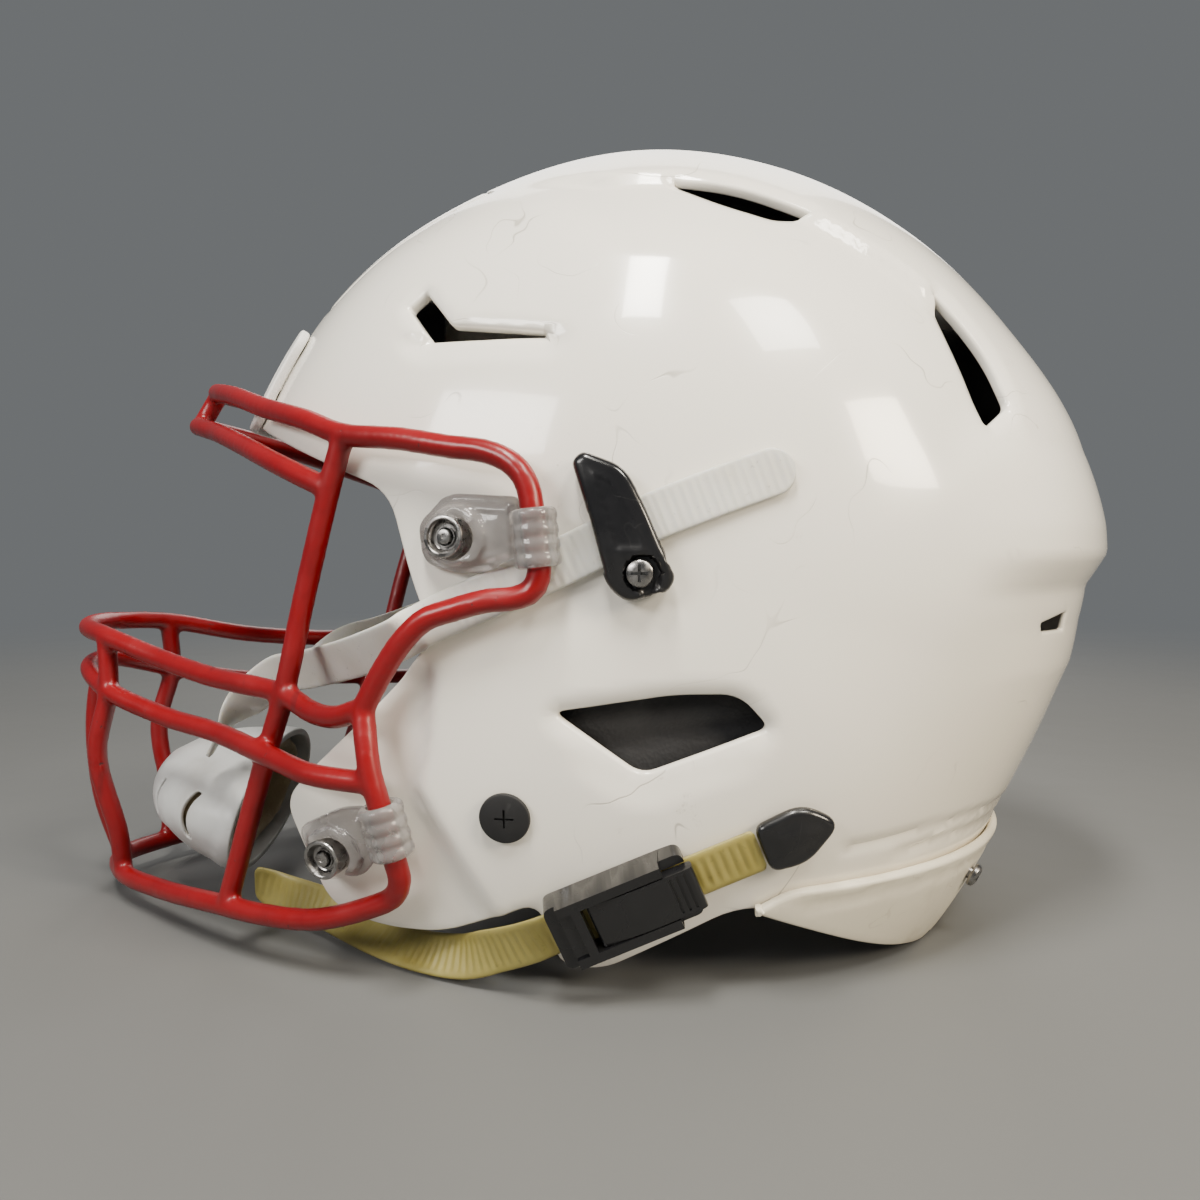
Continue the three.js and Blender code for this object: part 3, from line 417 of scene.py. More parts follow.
def to_disc(places):
    """Side-view places spread onto a disc, so that the steep sides near the middle plane get room."""
    angle, reach = polar(places[:, 0], places[:, 1])
    share = reach / rim_radius(angle)
    spread = np.where(share < 1, np.arcsin(np.minimum(share, 1)) * 2 / math.pi, share)
    radius = spread * rim_radius(angle) * DISC_SCALE
    return np.column_stack([radius * np.cos(angle), radius * np.sin(angle)])


def from_disc(points):
    angle = np.arctan2(points[:, 1], points[:, 0])
    spread = np.hypot(points[:, 0], points[:, 1]) / (rim_radius(angle) * DISC_SCALE)
    reach = np.sin(np.clip(spread, 0, 1) * math.pi / 2)
    return angle, reach


def disc_surface(points, grow):
    angle, reach = from_disc(points)
    radius = reach * (rim_radius(angle) + grow)
    x = half_width(reach, angle, grow)
    x[reach > 0.999999] = 0
    return np.column_stack([x, EGG_CENTRE[0] + radius * np.cos(angle), EGG_CENTRE[1] + radius * np.sin(angle)])


def on_middle(points):
    return from_disc(points)[1] > 0.999999


def pierce(x, start, direction, low, high):
    """Side-view places where lines in the middle plane's direction meet the egg at half width x."""
    x, start = np.asarray(x, float), np.asarray(start, float)
    near, far = np.full(len(x), float(low)), np.full(len(x), float(high))
    for _ in range(40):
        middle = (near + far) / 2
        place = start + middle[:, None] * direction
        angle, reach = polar(place[:, 0], place[:, 1])
        inside = half_width(np.minimum(reach / rim_radius(angle), 1), angle, 0) > x
        inside &= reach < rim_radius(angle)
        near, far = np.where(inside, middle, near), np.where(inside, far, middle)
    return start + near[:, None] * direction


def egg_normal(y, z):
    step = 0.5
    slope_y = (side_x(y + step, z) - side_x(y - step, z)) / (2 * step)
    slope_z = (side_x(y, z + step) - side_x(y, z - step)) / (2 * step)
    return Vector((1, -slope_y, -slope_z)).normalized()


def on_shell(y, z, lift=0):
    return Vector((side_x(y, z), y, z)) + egg_normal(y, z) * lift


def basis(x_axis, y_axis, z_axis, origin):
    turn = Matrix((x_axis, y_axis, z_axis)).transposed().to_4x4()
    turn.translation = origin
    return turn


def shell_frame(y, z):
    out = egg_normal(y, z)
    back = Vector((0, 0, 1)).cross(out).normalized()
    return basis(back, out.cross(back), out, on_shell(y, z))


def brow_screw_frame():
    angle = math.atan2(BROW_SCREW[1] - EGG_CENTRE[1], BROW_SCREW[0] - EGG_CENTRE[0])
    radius = float(rim_radius(np.float64(angle)))
    out = Vector((0, math.cos(angle), math.sin(angle)))
    up = Vector((0, math.sin(angle), -math.cos(angle)))
    origin = Vector((0, EGG_CENTRE[0], EGG_CENTRE[1])) + out * radius
    return basis(up.cross(out), up, out, origin)


def buckle_frame():
    along = Vector((0, math.cos(STRAP_SLOPE), math.sin(STRAP_SLOPE)))
    normal = egg_normal(BUCKLE["y"], BUCKLE["z"])
    out = (normal - along * normal.dot(along)).normalized()
    return basis(along, out.cross(along), out, on_shell(BUCKLE["y"], BUCKLE["z"]))


# ---------------------------------------------------------------- outlines

def resample(points, step, closed=True):
    points = np.asarray(points, float)
    if closed:
        points = np.vstack([points, points[:1]])
    lengths = np.hypot(*np.diff(points, axis=0).T)
    made = []
    for start, end, length in zip(points, points[1:], lengths):
        count = max(1, int(round(length / step)))
        made.extend(start + (end - start) * k / count for k in range(count))
    return np.array(made)


def rounded(corners, step=1.5):
    """A closed outline whose corners, given as (x, y, radius), are rounded by quadratic curves."""
    points = []
    for i, (x, y, radius) in enumerate(corners):
        corner = np.array([x, y], float)
        before = np.array(corners[i - 1][:2], float) - corner
        after = np.array(corners[(i + 1) % len(corners)][:2], float) - corner
        reach = min(radius, 0.45 * np.hypot(*before), 0.45 * np.hypot(*after))
        start = corner + before / np.hypot(*before) * reach
        end = corner + after / np.hypot(*after) * reach
        if radius == 0:
            points.append(corner)
            continue
        for t in np.linspace(0, 1, 7):
            points.append((1 - t) ** 2 * start + 2 * t * (1 - t) * corner + t ** 2 * end)
    return resample(points, step)


def circle(x, y, radius, count=24):
    turn = np.arange(count) / count * 2 * math.pi
    return np.column_stack([x + radius * np.cos(turn), y + radius * np.sin(turn)])


def grown(loop, amount):
    """The closed loop moved outward by an amount, or inward by a negative one."""
    area = np.sum(loop[:, 0] * np.roll(loop[:, 1], -1) - np.roll(loop[:, 0], -1) * loop[:, 1])
    ahead = np.roll(loop, -1, 0) - loop
    ahead /= np.maximum(np.hypot(*ahead.T), 1e-9)[:, None]
    tangent = ahead + np.roll(ahead, 1, 0)
    tangent /= np.maximum(np.hypot(*tangent.T), 1e-9)[:, None]
    normal = np.column_stack([tangent[:, 1], -tangent[:, 0]]) * np.sign(area)
    return loop + normal * amount


def inside(points, loop):
    x, y = points[:, 0][:, None], points[:, 1][:, None]
    ax, ay = loop[:, 0], loop[:, 1]
    bx, by = np.roll(ax, -1), np.roll(ay, -1)
    crosses = (ay > y) != (by > y)
    slope = (bx - ax) / np.where(by == ay, 1e-12, by - ay)
    return np.sum(crosses & (x < ax + (y - ay) * slope), axis=1) % 2 == 1


def distance_to(points, line, closed=True):
    start = line if closed else line[:-1]
    end = np.roll(line, -1, 0) if closed else line[1:]
    nearest = np.full(len(points), 1e9)
    for a, b in zip(start, end):
        along = b - a
        share = np.clip((points - a) @ along / max(along @ along, 1e-12), 0, 1)
        nearest = np.minimum(nearest, np.hypot(*(points - a - share[:, None] * along).T))
    return nearest


def smooth(value):
    value = np.clip(value, 0, 1)
    return value * value * (3 - 2 * value)


# ---------------------------------------------------------------- meshes

def mesh(name, verts, faces, look, slot=None, sharp=40, mirror=False):
    """An object in the row frame from millimetres in the part frame."""
    verts = np.asarray(verts, float).reshape(-1, 3).copy()
    if mirror:
        verts[:, 0] *= -1
        faces = [tuple(reversed(face)) for face in faces]
    verts[:, 1] += LENGTH_SHIFT
    data = bpy.data.meshes.new(name)
    data.from_pydata((verts * MM).tolist(), [], [list(map(int, face)) for face in faces])
    return dressed(name, data, look, slot, sharp)


def dressed(name, data, look, slot=None, sharp=40):
    data.validate()
    data.shade_smooth()
    data.set_sharp_from_angle(angle=math.radians(sharp))
    data.materials.clear()
    data.materials.append(LOOKS[look])
    made = bpy.data.objects.new(name, data)
    bpy.context.scene.collection.objects.link(made)
    slot or look
    return made


def applied(made):
    """Applies the modifiers of an object to its mesh."""
    graph = bpy.context.evaluated_depsgraph_get()
    data = bpy.data.meshes.new_from_object(made.evaluated_get(graph))
    made.modifiers.clear()
    old = made.data
    made.data = data
    bpy.data.meshes.remove(old)
    return made


def put(made, body, *nodes):
    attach(made, body)
    if nodes:
        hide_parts(*nodes)
    return made


def triangulated(keep, cut, spacing):
    """Triangles over the area inside every loop of keep and outside every loop of cut."""
    low, high = keep[-1].min(0), keep[-1].max(0)
    rows = np.arange(low[1], high[1], spacing * 0.87)
    grid = [np.column_stack([np.arange(low[0] + (k % 2) * spacing / 2, high[0], spacing),
                             np.full(len(np.arange(low[0] + (k % 2) * spacing / 2, high[0], spacing)), row)])
            for k, row in enumerate(rows)]
    grid = np.vstack(grid)
    for loop in keep:
        grid = grid[inside(grid, loop)]
    for loop in cut:
        grid = grid[~inside(grid, loop)]
    for loop in keep + cut:
        grid = grid[distance_to(grid, loop) > spacing * 0.55]
    points, edges = [], []
    for loop in keep + cut:
        first = sum(len(part) for part in points)
        count = len(loop)
        points.append(loop)
        edges.extend((first + k, first + (k + 1) % count) for k in range(count))
    points.append(grid)
    flat = [Vector(point) for point in np.vstack(points)]
    found, _, faces, *_ = delaunay_2d_cdt(flat, edges, [], 0, 1e-5)
    found, faces = np.array([tuple(v) for v in found]), np.array(faces)
    centres = found[faces].mean(1)
    good = np.ones(len(faces), bool)
    for loop in keep:
        good &= inside(centres, loop)
    for loop in cut:
        good &= ~inside(centres, loop)
    faces = faces[good]
    used = np.unique(faces)
    index = np.full(len(found), -1)
    index[used] = np.arange(len(used))
    return found[used], index[faces]


def skin(keep, cut, surface, top, bottom, edge=0.7, spacing=2.5, rings=3, seam=None):
    """A closed moulded piece between two heights over an outline, with rounded edges.

    surface(places, height) gives points. The rounded edge reaches out past the outline by up to the edge radius, and a
    piece cut by the middle plane stays open along its seam.
    """
    flat, faces = triangulated(keep, cut, spacing)
    heights = [level(flat) if callable(level) else np.full(len(flat), float(level)) for level in (top, bottom)]
    upper, lower = surface(flat, heights[0]), surface(flat, heights[1])
    a, b, c = (upper[faces[:, k]] for k in range(3))
    normals = np.zeros_like(upper)
    cross = np.cross(b - a, c - a)
    if np.sum(cross * (upper[faces[:, 0]] - lower[faces[:, 0]])) < 0:
        faces = faces[:, ::-1]
        cross = -cross
    for k in range(3):
        np.add.at(normals, faces[:, k], cross)
    normals /= np.maximum(np.linalg.norm(normals, axis=1), 1e-12)[:, None]
    directed = {(int(f[k]), int(f[(k + 1) % 3])) for f in faces for k in range(3)}
    middle = seam(flat) if seam else np.zeros(len(flat), bool)
    border = [pair for pair in directed if pair[::-1] not in directed and not (middle[pair[0]] and middle[pair[1]])]
    border.sort()
    outward = {}
    for i, j in border:
        along = upper[j] - upper[i]
        away = np.cross(along / max(np.linalg.norm(along), 1e-9), normals[i] + normals[j])
        for k in (i, j):
            outward[k] = outward.get(k, 0) + away
    count = len(flat)
    points = [upper, lower]
    ring_start = {}
    extra = []
    turns = [math.pi / 2 * (k + 1) / rings for k in range(rings)]
    for k, away in sorted(outward.items()):
        if middle[k]:
            away = away * (0, 1, 1)
        away = away / max(np.linalg.norm(away), 1e-9)
        down = lower[k] - upper[k]
        thick = np.linalg.norm(down)
        down = down / max(thick, 1e-9)
        size = min(edge, thick * 0.49)
        ring_start[k] = 2 * count + len(extra)
        extra.extend(upper[k] + away * size * math.sin(t) + down * size * (1 - math.cos(t)) for t in turns)
        extra.extend(lower[k] + away * size * math.sin(t) - down * size * (1 - math.cos(t)) for t in turns[::-1])
    points.append(np.array(extra).reshape(-1, 3))
    made = [tuple(face) for face in faces]
    made += [tuple(int(v) + count for v in face[::-1]) for face in faces]
    for i, j in border:
        chain_i = [i, *range(ring_start[i], ring_start[i] + 2 * rings), i + count]
        chain_j = [j, *range(ring_start[j], ring_start[j] + 2 * rings), j + count]
        for k in range(len(chain_i) - 1):
            made.append((chain_j[k], chain_i[k], chain_i[k + 1], chain_j[k + 1]))
    return np.vstack(points), made


def both_halves(verts, faces):
    """The piece and its mirror image as one mesh, welded along the middle plane."""
    verts = np.asarray(verts, float)
    count = len(verts)
    middle = np.abs(verts[:, 0]) < 1e-3
    verts[middle, 0] = 0
    twin = np.where(middle, np.arange(count), np.arange(count) + count)
    mirrored = verts * (-1, 1, 1)
    other = [tuple(int(twin[v]) for v in reversed(face)) for face in faces]
    return np.vstack([verts, mirrored]), [tuple(map(int, face)) for face in faces] + other


def whole(name, parts, look, **settings):
    """A mesh from both halves, with unused vertices removed."""
    verts, faces = both_halves(*parts)
    used = sorted({v for face in faces for v in face})
    index = {v: k for k, v in enumerate(used)}
    return mesh(name, verts[used], [tuple(index[v] for v in face) for face in faces], look, **settings)


# ---------------------------------------------------------------- shell, panel and bumpers

CROWN_LINE = np.array([
    (-30, 228), (7, 229), (28, 228.4), (45, 223.6), (64, 216.7), (81, 206.5), (100, 193), (113, 178), (121, 161),
])
JAW_LINE = np.array([(-30, 14), (-25, 20), (-44.5, 56), (-42, 68), (-39.5, 87)])
FRONT_VENT_SILL = np.array([(-56, 180), (-43, 179.5), (-10, 179), (14, 176.5)])
REAR_GROOVES = (
    np.array([(72, 40), (92.5, 42), (112, 42.5), (131, 41), (150, 40)]),
    np.array([(88, 36.6), (104, 37.6), (131, 37), (150, 36.5)]),
)
REAR_PROFILE = np.array([(84, 0), (97, -2.2), (108, -2.6), (118, 2.9), (127, 2.6), (150, 0)])


def crown_relief(y, z):
    """Beside the raised crown band the shell drops, and comes back lower down."""
    angle, reach = polar(y, z)
    line_angle, line_reach = polar(CROWN_LINE[:, 0], CROWN_LINE[:, 1])
    edge = np.interp(-angle, -line_angle, line_reach)
    window = smooth((angle - math.radians(24)) / 0.25) * smooth((math.radians(118) - angle) / 0.2)
    below = edge - reach
    return -2.6 * window * smooth(below / 2.6) * smooth((34 - below) / 30)


def jaw_relief(y, z):
    """The jaw flap's front is a lower step, and the step widens downward."""
    line = np.interp(z, JAW_LINE[:, 1], JAW_LINE[:, 0])
    width = np.interp(z, (14, 56, 87), (11, 4, 3))
    return -2.4 * smooth((line - y) / width + 0.5) * smooth((92 - z) / 8)


def vent_relief(y, z, places):
    sill = np.interp(y, FRONT_VENT_SILL[:, 0], FRONT_VENT_SILL[:, 1])
    gap = distance_to(places, rounded(FRONT_VENT))
    height = -2.4 * np.clip(1 - gap / 8.5, 0, 1) * smooth((sill + 0.8 - z) / 1.6)
    ear = distance_to(places, rounded(EAR_OPENING))
    reach = 3.8 + 5.5 * smooth((72 - z) / 10)
    height -= 1.9 * np.clip(1 - ear / reach, 0, 1)
    for vent, depth, width in ((REAR_VENT, 1.3, 3), (FRONT_VENT, 0.9, 2.2), (TOP_VENT, 1.1, 2.5)):
        height -= depth * np.clip(1 - distance_to(places, rounded(vent)) / width, 0, 1)
    return height


def shell_relief(points):
    """Height of the shell's creases and bevels over the plain egg, at disc points."""
    angle, reach = from_disc(points)
    radius = reach * rim_radius(angle)
    y = EGG_CENTRE[0] + radius * np.cos(angle)
    z = EGG_CENTRE[1] + radius * np.sin(angle)
    places = np.column_stack([y, z])
    height = crown_relief(y, z) + jaw_relief(y, z) + vent_relief(y, z, places)
    height += np.interp(z, REAR_PROFILE[:, 0], REAR_PROFILE[:, 1]) * smooth((y - 98) / 42)
    for groove in REAR_GROOVES:
        height -= 1.0 * np.exp(-(distance_to(places, groove, False) / 1.3) ** 2)
    return height


def panel_loop(slit, hinge_slit, step=1.5):
    """The panel's outline on the disc, the left half only, closed outside the middle plane."""
    angle = math.radians(PANEL["angle"])
    back, out = np.array([math.sin(angle), -math.cos(angle)]), np.array([math.cos(angle), math.sin(angle)])
    front, rear = -PANEL["half_length"] - slit, PANEL["half_length"] + hinge_slit
    narrow, wide = PANEL["front"] + slit, PANEL["rear"] + slit
    outline = rounded([(-narrow, front, PANEL["corner"]), (narrow, front, PANEL["corner"]),
                       (wide, rear, 1.5), (-wide, rear, 1.5)], step)
    outline = outline[outline[:, 0] > 0]
    start = int(np.argmin(outline[:, 1] + outline[:, 0] * 1e-3))
    outline = np.roll(outline, -start, 0)
    outline = np.vstack([(0, front), outline, (0, rear)])
    places = pierce(outline[:, 0], np.array(EGG_CENTRE) + outline[:, 1:] * back, out, 60, 190)
    disc = to_disc(places)
    disc[0], disc[-1] = disc[0] * 1.0005, disc[-1] * 1.0005
    return np.vstack([disc, disc[-1] * 1.06, disc[0] * 1.06])


def middle_loop(step=2.0):
    turn = np.linspace(0, 2 * math.pi, 720, endpoint=False)
    radius = rim_radius(turn) * DISC_SCALE
    return resample(np.column_stack([radius * np.cos(turn), radius * np.sin(turn)]), step)


def on_disc(corners, inset=0.0, step=1.5):
    return grown(to_disc(resample(rounded(corners, step), step)), inset)


def make_shell():
    edge = 0.9
    keep = [middle_loop(), on_disc(SHELL_OUTLINE, -edge)]
    cut = [on_disc(vent, edge) for vent in (FRONT_VENT, REAR_VENT, EAR_OPENING, SMALL_VENT, TOP_VENT)]
    cut.append(panel_loop(PANEL["slit"] + edge, PANEL["hinge_slit"] + edge))
    parts = skin(keep, cut, disc_surface, shell_relief, -SHELL_WALL, edge, 2.3, 3, on_middle)
    put(whole("shell_skin", parts, "shell_white"), "helmet", "shell")


def make_panel():
    edge = 0.9
    keep = [middle_loop(), panel_loop(-edge, -edge)]
    parts = skin(keep, [], disc_surface, 0, -SHELL_WALL, edge, 2.3, 3, on_middle)
    put(whole("flex_panel_skin", parts, "shell_white"), "flex_panel", "flex_panel")


def make_rear_bumper():
    keep = [middle_loop(), on_disc(REAR_BUMPER, -1.0)]
    groove = np.array([(60, 27), (97, 28.5), (150, 27.5)])

    def top(points):
        angle, reach = from_disc(points)
        radius = reach * rim_radius(angle)
        places = np.column_stack([EGG_CENTRE[0] + radius * np.cos(angle), EGG_CENTRE[1] + radius * np.sin(angle)])
        return GAP + 2.8 - 0.7 * np.exp(-(distance_to(places, groove, False) / 1.0) ** 2)

    verts, faces = skin(keep, [], disc_surface, top, GAP, 1.1, 2.3, 4, on_middle)
    verts[:, 2] = np.maximum(verts[:, 2], 0)
    put(whole("rear_bumper_skin", (verts, faces), "bumper_ivory"), "helmet", "rear_bumper")


def brow_loop(corners):
    outline = rounded(corners, 1.2)
    outline[:, 0] = np.maximum(outline[:, 0], 0)
    places = pierce(outline[:, 0], np.column_stack([np.full(len(outline), 20.0), outline[:, 1]]),
                    np.array([-1.0, 0.0]), 10, 190)
    return to_disc(places)


def make_brow_bumper():
    half, low, high = BROW_BUMPER["half_width"], BROW_BUMPER["low"], BROW_BUMPER["high"]
    corner = BROW_BUMPER["corner"]
    outline = rounded([(-half, low, corner), (half, low, corner), (half, high, corner), (-half, high, corner)], 1.2)
    outline = grown(outline, -0.9)
    outline = outline[outline[:, 0] > 0]
    start = int(np.argmin(outline[:, 1] + outline[:, 0] * 1e-3))
    outline = np.roll(outline, -start, 0)
    outline = np.vstack([(0, outline[0, 1]), outline, (0, outline[-1, 1])])
    start_points = np.column_stack([np.full(len(outline), 20.0), outline[:, 1]])
    disc = to_disc(pierce(outline[:, 0], start_points, np.array([-1.0, 0.0]), 10, 190))
    disc[0], disc[-1] = disc[0] * 1.0005, disc[-1] * 1.0005
    loop = np.vstack([disc, disc[-1] * 1.06, disc[0] * 1.06])
    x, w = BROW_SLOT["x"], BROW_SLOT["width"] / 2 + 0.5
    slot = brow_loop([(x - w, BROW_SLOT["low"], 1.5), (x + w, BROW_SLOT["low"], 1.5),
                      (x + w, BROW_SLOT["high"], 1.5), (x - w, BROW_SLOT["high"], 1.5)])
    parts = skin([middle_loop(), loop], [slot], disc_surface, GAP + BROW_BUMPER["thickness"], GAP, 0.9, 1.6, 4, on_middle)
    put(whole("brow_bumper_skin", parts, "brow_white"), "helmet", "brow_bumper")


# ---------------------------------------------------------------- copies, turned and carved pieces

def pair(left, body, *nodes):
    """Makes the right-hand mirror image of a left-hand piece, and puts both on their bodies."""
    right = left.copy()
    right.data = left.data.copy()
    right.data.transform(Matrix.Scale(-1, 4, (1, 0, 0)))
    right.data.flip_normals()
    name = left.name
    left.name, right.name = f"{name}_left", f"{name}_right"
    bpy.context.scene.collection.objects.link(right)
    for side, made in (("left", left), ("right", right)):
        put(made, body.format(side), *(f"{node}_{side}" for node in nodes))
    return left, right


def placed(verts, matrix):
    turn = np.array(matrix.to_3x3())
    return np.asarray(verts, float) @ turn.T + np.array(matrix.translation)


def turned(profile, segments=48):
    """A profile of (radius, height) pairs turned about z, from the bottom up."""
    verts, rings, faces = [], [], []
    for radius, height in profile:
        if radius == 0:
            rings.append([len(verts)] * segments)
            verts.append((0, 0, height))
            continue
        rings.append(list(range(len(verts), len(verts) + segments)))
        turn = np.arange(segments) / segments * 2 * math.pi
        verts.extend(zip(radius * np.cos(turn), radius * np.sin(turn), np.full(segments, float(height))))
    for low, high in zip(rings, rings[1:]):
        for k in range(segments):
            j = (k + 1) % segments
            face = [low[k], low[j], high[j], high[k]]
            faces.append(tuple(dict.fromkeys(face)))
    return np.array(verts), [face for face in faces if len(face) > 2]


def box_parts(x, y, z):
    verts = [(a, b, c) for a in x for b in y for c in z]
    faces = [(0, 1, 3, 2), (4, 6, 7, 5), (0, 4, 5, 1), (2, 3, 7, 6), (0, 2, 6, 4), (1, 5, 7, 3)]
    return np.array(verts, float), faces


def extruded(outline, low, high):
    """A prism of a closed counter-clockwise outline, from low to high along z."""
    outline = np.asarray(outline, float)
    count = len(outline)
    verts = np.vstack([np.column_stack([outline, np.full(count, float(level))]) for level in (low, high)])
    faces = [tuple(reversed(range(count))), tuple(range(count, 2 * count))]
    faces += [(k, (k + 1) % count, (k + 1) % count + count, k + count) for k in range(count)]
    return verts, faces


def carved(base, cutters):
    """The object with the cutters taken out of it; the cutters are removed."""
    for cutter in cutters:
        cut = base.modifiers.new("cut", "BOOLEAN")
        cut.operation = "DIFFERENCE"
        cut.solver = "EXACT"
        cut.object = cutter
    applied(base)
    for cutter in cutters:
        bpy.data.objects.remove(cutter)
    return base


def softened(made, width, segments=3, angle=32):
    """Rounds the object's sharp edges, in millimetres."""
    bevel = made.modifiers.new("bevel", "BEVEL")
    bevel.width = width * MM
    bevel.segments = segments
    bevel.limit_method = "ANGLE"
    bevel.angle_limit = math.radians(angle)
    bevel.harden_normals = False
    applied(made)
    made.data.shade_smooth()
    made.data.set_sharp_from_angle(angle=math.radians(40))
    return made


def fused(made, voxel, smoothing=4):
    """One smooth skin round everything in the object, like a weld or a dipped coating."""
    remesh = made.modifiers.new("remesh", "REMESH")
    remesh.mode = "VOXEL"
    remesh.voxel_size = voxel * MM
    remesh.use_smooth_shade = True
    soft = made.modifiers.new("smooth", "SMOOTH")
    soft.factor = 0.5
    soft.iterations = smoothing
    applied(made)
    made.data.shade_smooth()
    return made


def gathered(*parts):
    verts, faces = [], []
    for points, shape in parts:
        first = sum(len(block) for block in verts)
        verts.append(np.asarray(points, float))
        faces.extend(tuple(int(v) + first for v in face) for face in shape)
    return np.vstack(verts), faces


def mirrored_parts(verts, faces):
    return np.asarray(verts) * (-1, 1, 1), [tuple(reversed(face)) for face in faces]


# ---------------------------------------------------------------- curves

def centripetal(points, shares):
    """Points on a centripetal Catmull-Rom curve at shares from 0 to 1 of its spans."""
    points = np.asarray(points, float)
    padded = np.vstack([2 * points[0] - points[1], points, 2 * points[-1] - points[-2]])
    made = []
    for share in shares:
        place = share * (len(points) - 1)
        i = min(int(place), len(points) - 2)
        w = place - i
        p0, p1, p2, p3 = padded[i:i + 4]
        d0, d1, d2 = (max(np.linalg.norm(b - a) ** 0.5, 1e-4) for a, b in ((p0, p1), (p1, p2), (p2, p3)))
        t1 = ((p1 - p0) / d0 - (p2 - p0) / (d0 + d1) + (p2 - p1) / d1) * d1
        t2 = ((p2 - p1) / d1 - (p3 - p1) / (d1 + d2) + (p3 - p2) / d2) * d1
        made.append(p1 + t1 * w + (3 * (p2 - p1) - 2 * t1 - t2) * w ** 2 + (2 * (p1 - p2) + t1 + t2) * w ** 3)
    return np.array(made)


def even_shares(points, step):
    fine = np.linspace(0, 1, 40 * (len(points) - 1) + 1)
    line = centripetal(points, fine)
    travelled = np.concatenate([[0], np.cumsum(np.linalg.norm(np.diff(line, axis=0), axis=1))])
    count = max(2, int(travelled[-1] / step))
    return np.interp(np.linspace(0, travelled[-1], count + 1), travelled, fine), travelled[-1]


def tube(points, radius, step=2.5, sides=16):
    shares, _ = even_shares(points, step)
    line = centripetal(points, shares)
    tangents = np.gradient(line, axis=0)
    tangents /= np.linalg.norm(tangents, axis=1)[:, None]
    side = np.cross(tangents[0], (0.3, 0.5, 0.8))
    verts = []
    for centre, tangent in zip(line, tangents):
        side = side - tangent * (side @ tangent)
        side /= np.linalg.norm(side)
        other = np.cross(tangent, side)
        turn = np.arange(sides) / sides * 2 * math.pi
        verts.append(centre + radius * (np.cos(turn)[:, None] * side + np.sin(turn)[:, None] * other))
    faces = []
    for ring in range(len(line) - 1):
        for k in range(sides):
            j = (k + 1) % sides
            faces.append((ring * sides + k, ring * sides + j, (ring + 1) * sides + j, (ring + 1) * sides + k))
    last = (len(line) - 1) * sides
    faces.append(tuple(reversed(range(sides))))
    faces.append(tuple(last + k for k in range(sides)))
    return np.vstack(verts), faces


# ---------------------------------------------------------------- face guard

# The left half of the guard, wire by wire, as in the part.
BROW_AND_ARM = [
    (0, -128.5, 172.5), (16, -122.5, 171), (31, -113.5, 168.5), (55, -97, 162.5), (78, -79, 157),
    (91, -65.5, 152), (102.5, -48, 150), (109.5, -34, 147.5), (113.5, -24, 146), (116.5, -17.5, 143),
    (118, -13.8, 138.5), (118.6, -12, 131), (119, -11.2, 123), (119.5, -10.3, 115.5), (119.5, -12, 110.8),
    (119, -16.5, 108.8), (118, -24, 108), (116.5, -33, 105.5), (115, -40, 103), (113, -46, 97.5),
    (110, -52, 89), (106.5, -58, 78.5),
]
BROW_LOWER = [
    (0, -135.5, 161), (25, -121, 157), (50, -105.5, 151.5), (71, -90.5, 145.5), (83, -78.5, 140.5), (89, -71, 137.5),
]
SIDE_AND_BOTTOM = [
    (106.5, -58, 78.5), (108.5, -57, 70), (109.7, -55.8, 62), (109.9, -54.2, 56), (109.3, -52.6, 49.5),
    (108.8, -51.2, 43.8), (108.3, -49.8, 38), (106.5, -48.8, 32), (103.5, -51, 26.5), (101, -57, 23),
    (93, -74.5, 16.5), (82, -92.5, 14), (67, -112, 12.5), (45, -136, 9.5), (22, -158, 8), (0, -167, 8),
]
TOP_BAR = [
    (106.5, -58, 78.5), (99.5, -67, 75), (91, -75.5, 75), (81, -86, 78.5), (60, -113, 80.5), (43, -135, 84),
    (28, -159, 90), (14, -171, 91.5), (0, -174, 92),
]
SECOND_BAR = [
    (109.7, -55, 59), (100, -73.8, 59.3), (87, -87.5, 61), (63, -111.5, 64), (44, -135, 66), (29, -158.5, 72),
    (14, -171, 77.5), (0, -173, 79),
]
LONG_VERTICAL = [
    (91, -65.5, 152), (89, -70, 137.5), (84, -79, 106), (81, -86, 78.5), (77, -92.5, 60), (71, -107, 13),
]
FRONT_VERTICAL = [(28, -159, 90), (29, -158.5, 72), (27.5, -163.5, 50), (24, -158.5, 22), (21, -158.5, 7.5)]
BROW_LINK = [(0, -128.5, 172.5), (0, -135.5, 161)]
CENTRE_BAR = [(0, -173, 79), (0, -176, 55), (0, -174, 30), (0, -167, 8)]


def across_middle(points):
    """A wire that starts or ends on the middle plane, run on to its mirror image."""
    left = points if points[0][0] == 0 else points[::-1]
    return [(-x, y, z) for x, y, z in left[:0:-1]] + list(left)


def make_facemask():
    wires = [tube(across_middle(wire), WIRE_RADIUS) for wire in (BROW_LOWER, TOP_BAR, SECOND_BAR, SIDE_AND_BOTTOM)]
    wires.append(tube(across_middle(BROW_AND_ARM), WIRE_RADIUS))
    for wire in (LONG_VERTICAL, FRONT_VERTICAL):
        left = tube(wire, WIRE_RADIUS)
        wires += [left, mirrored_parts(*left)]
    wires += [tube(BROW_LINK, WIRE_RADIUS), tube(CENTRE_BAR, WIRE_RADIUS)]
    guard = mesh("facemask_wire", *gathered(*wires), "mask_red")
    put(fused(guard, 0.95, 5), "helmet", "facemask")


# ---------------------------------------------------------------- clips

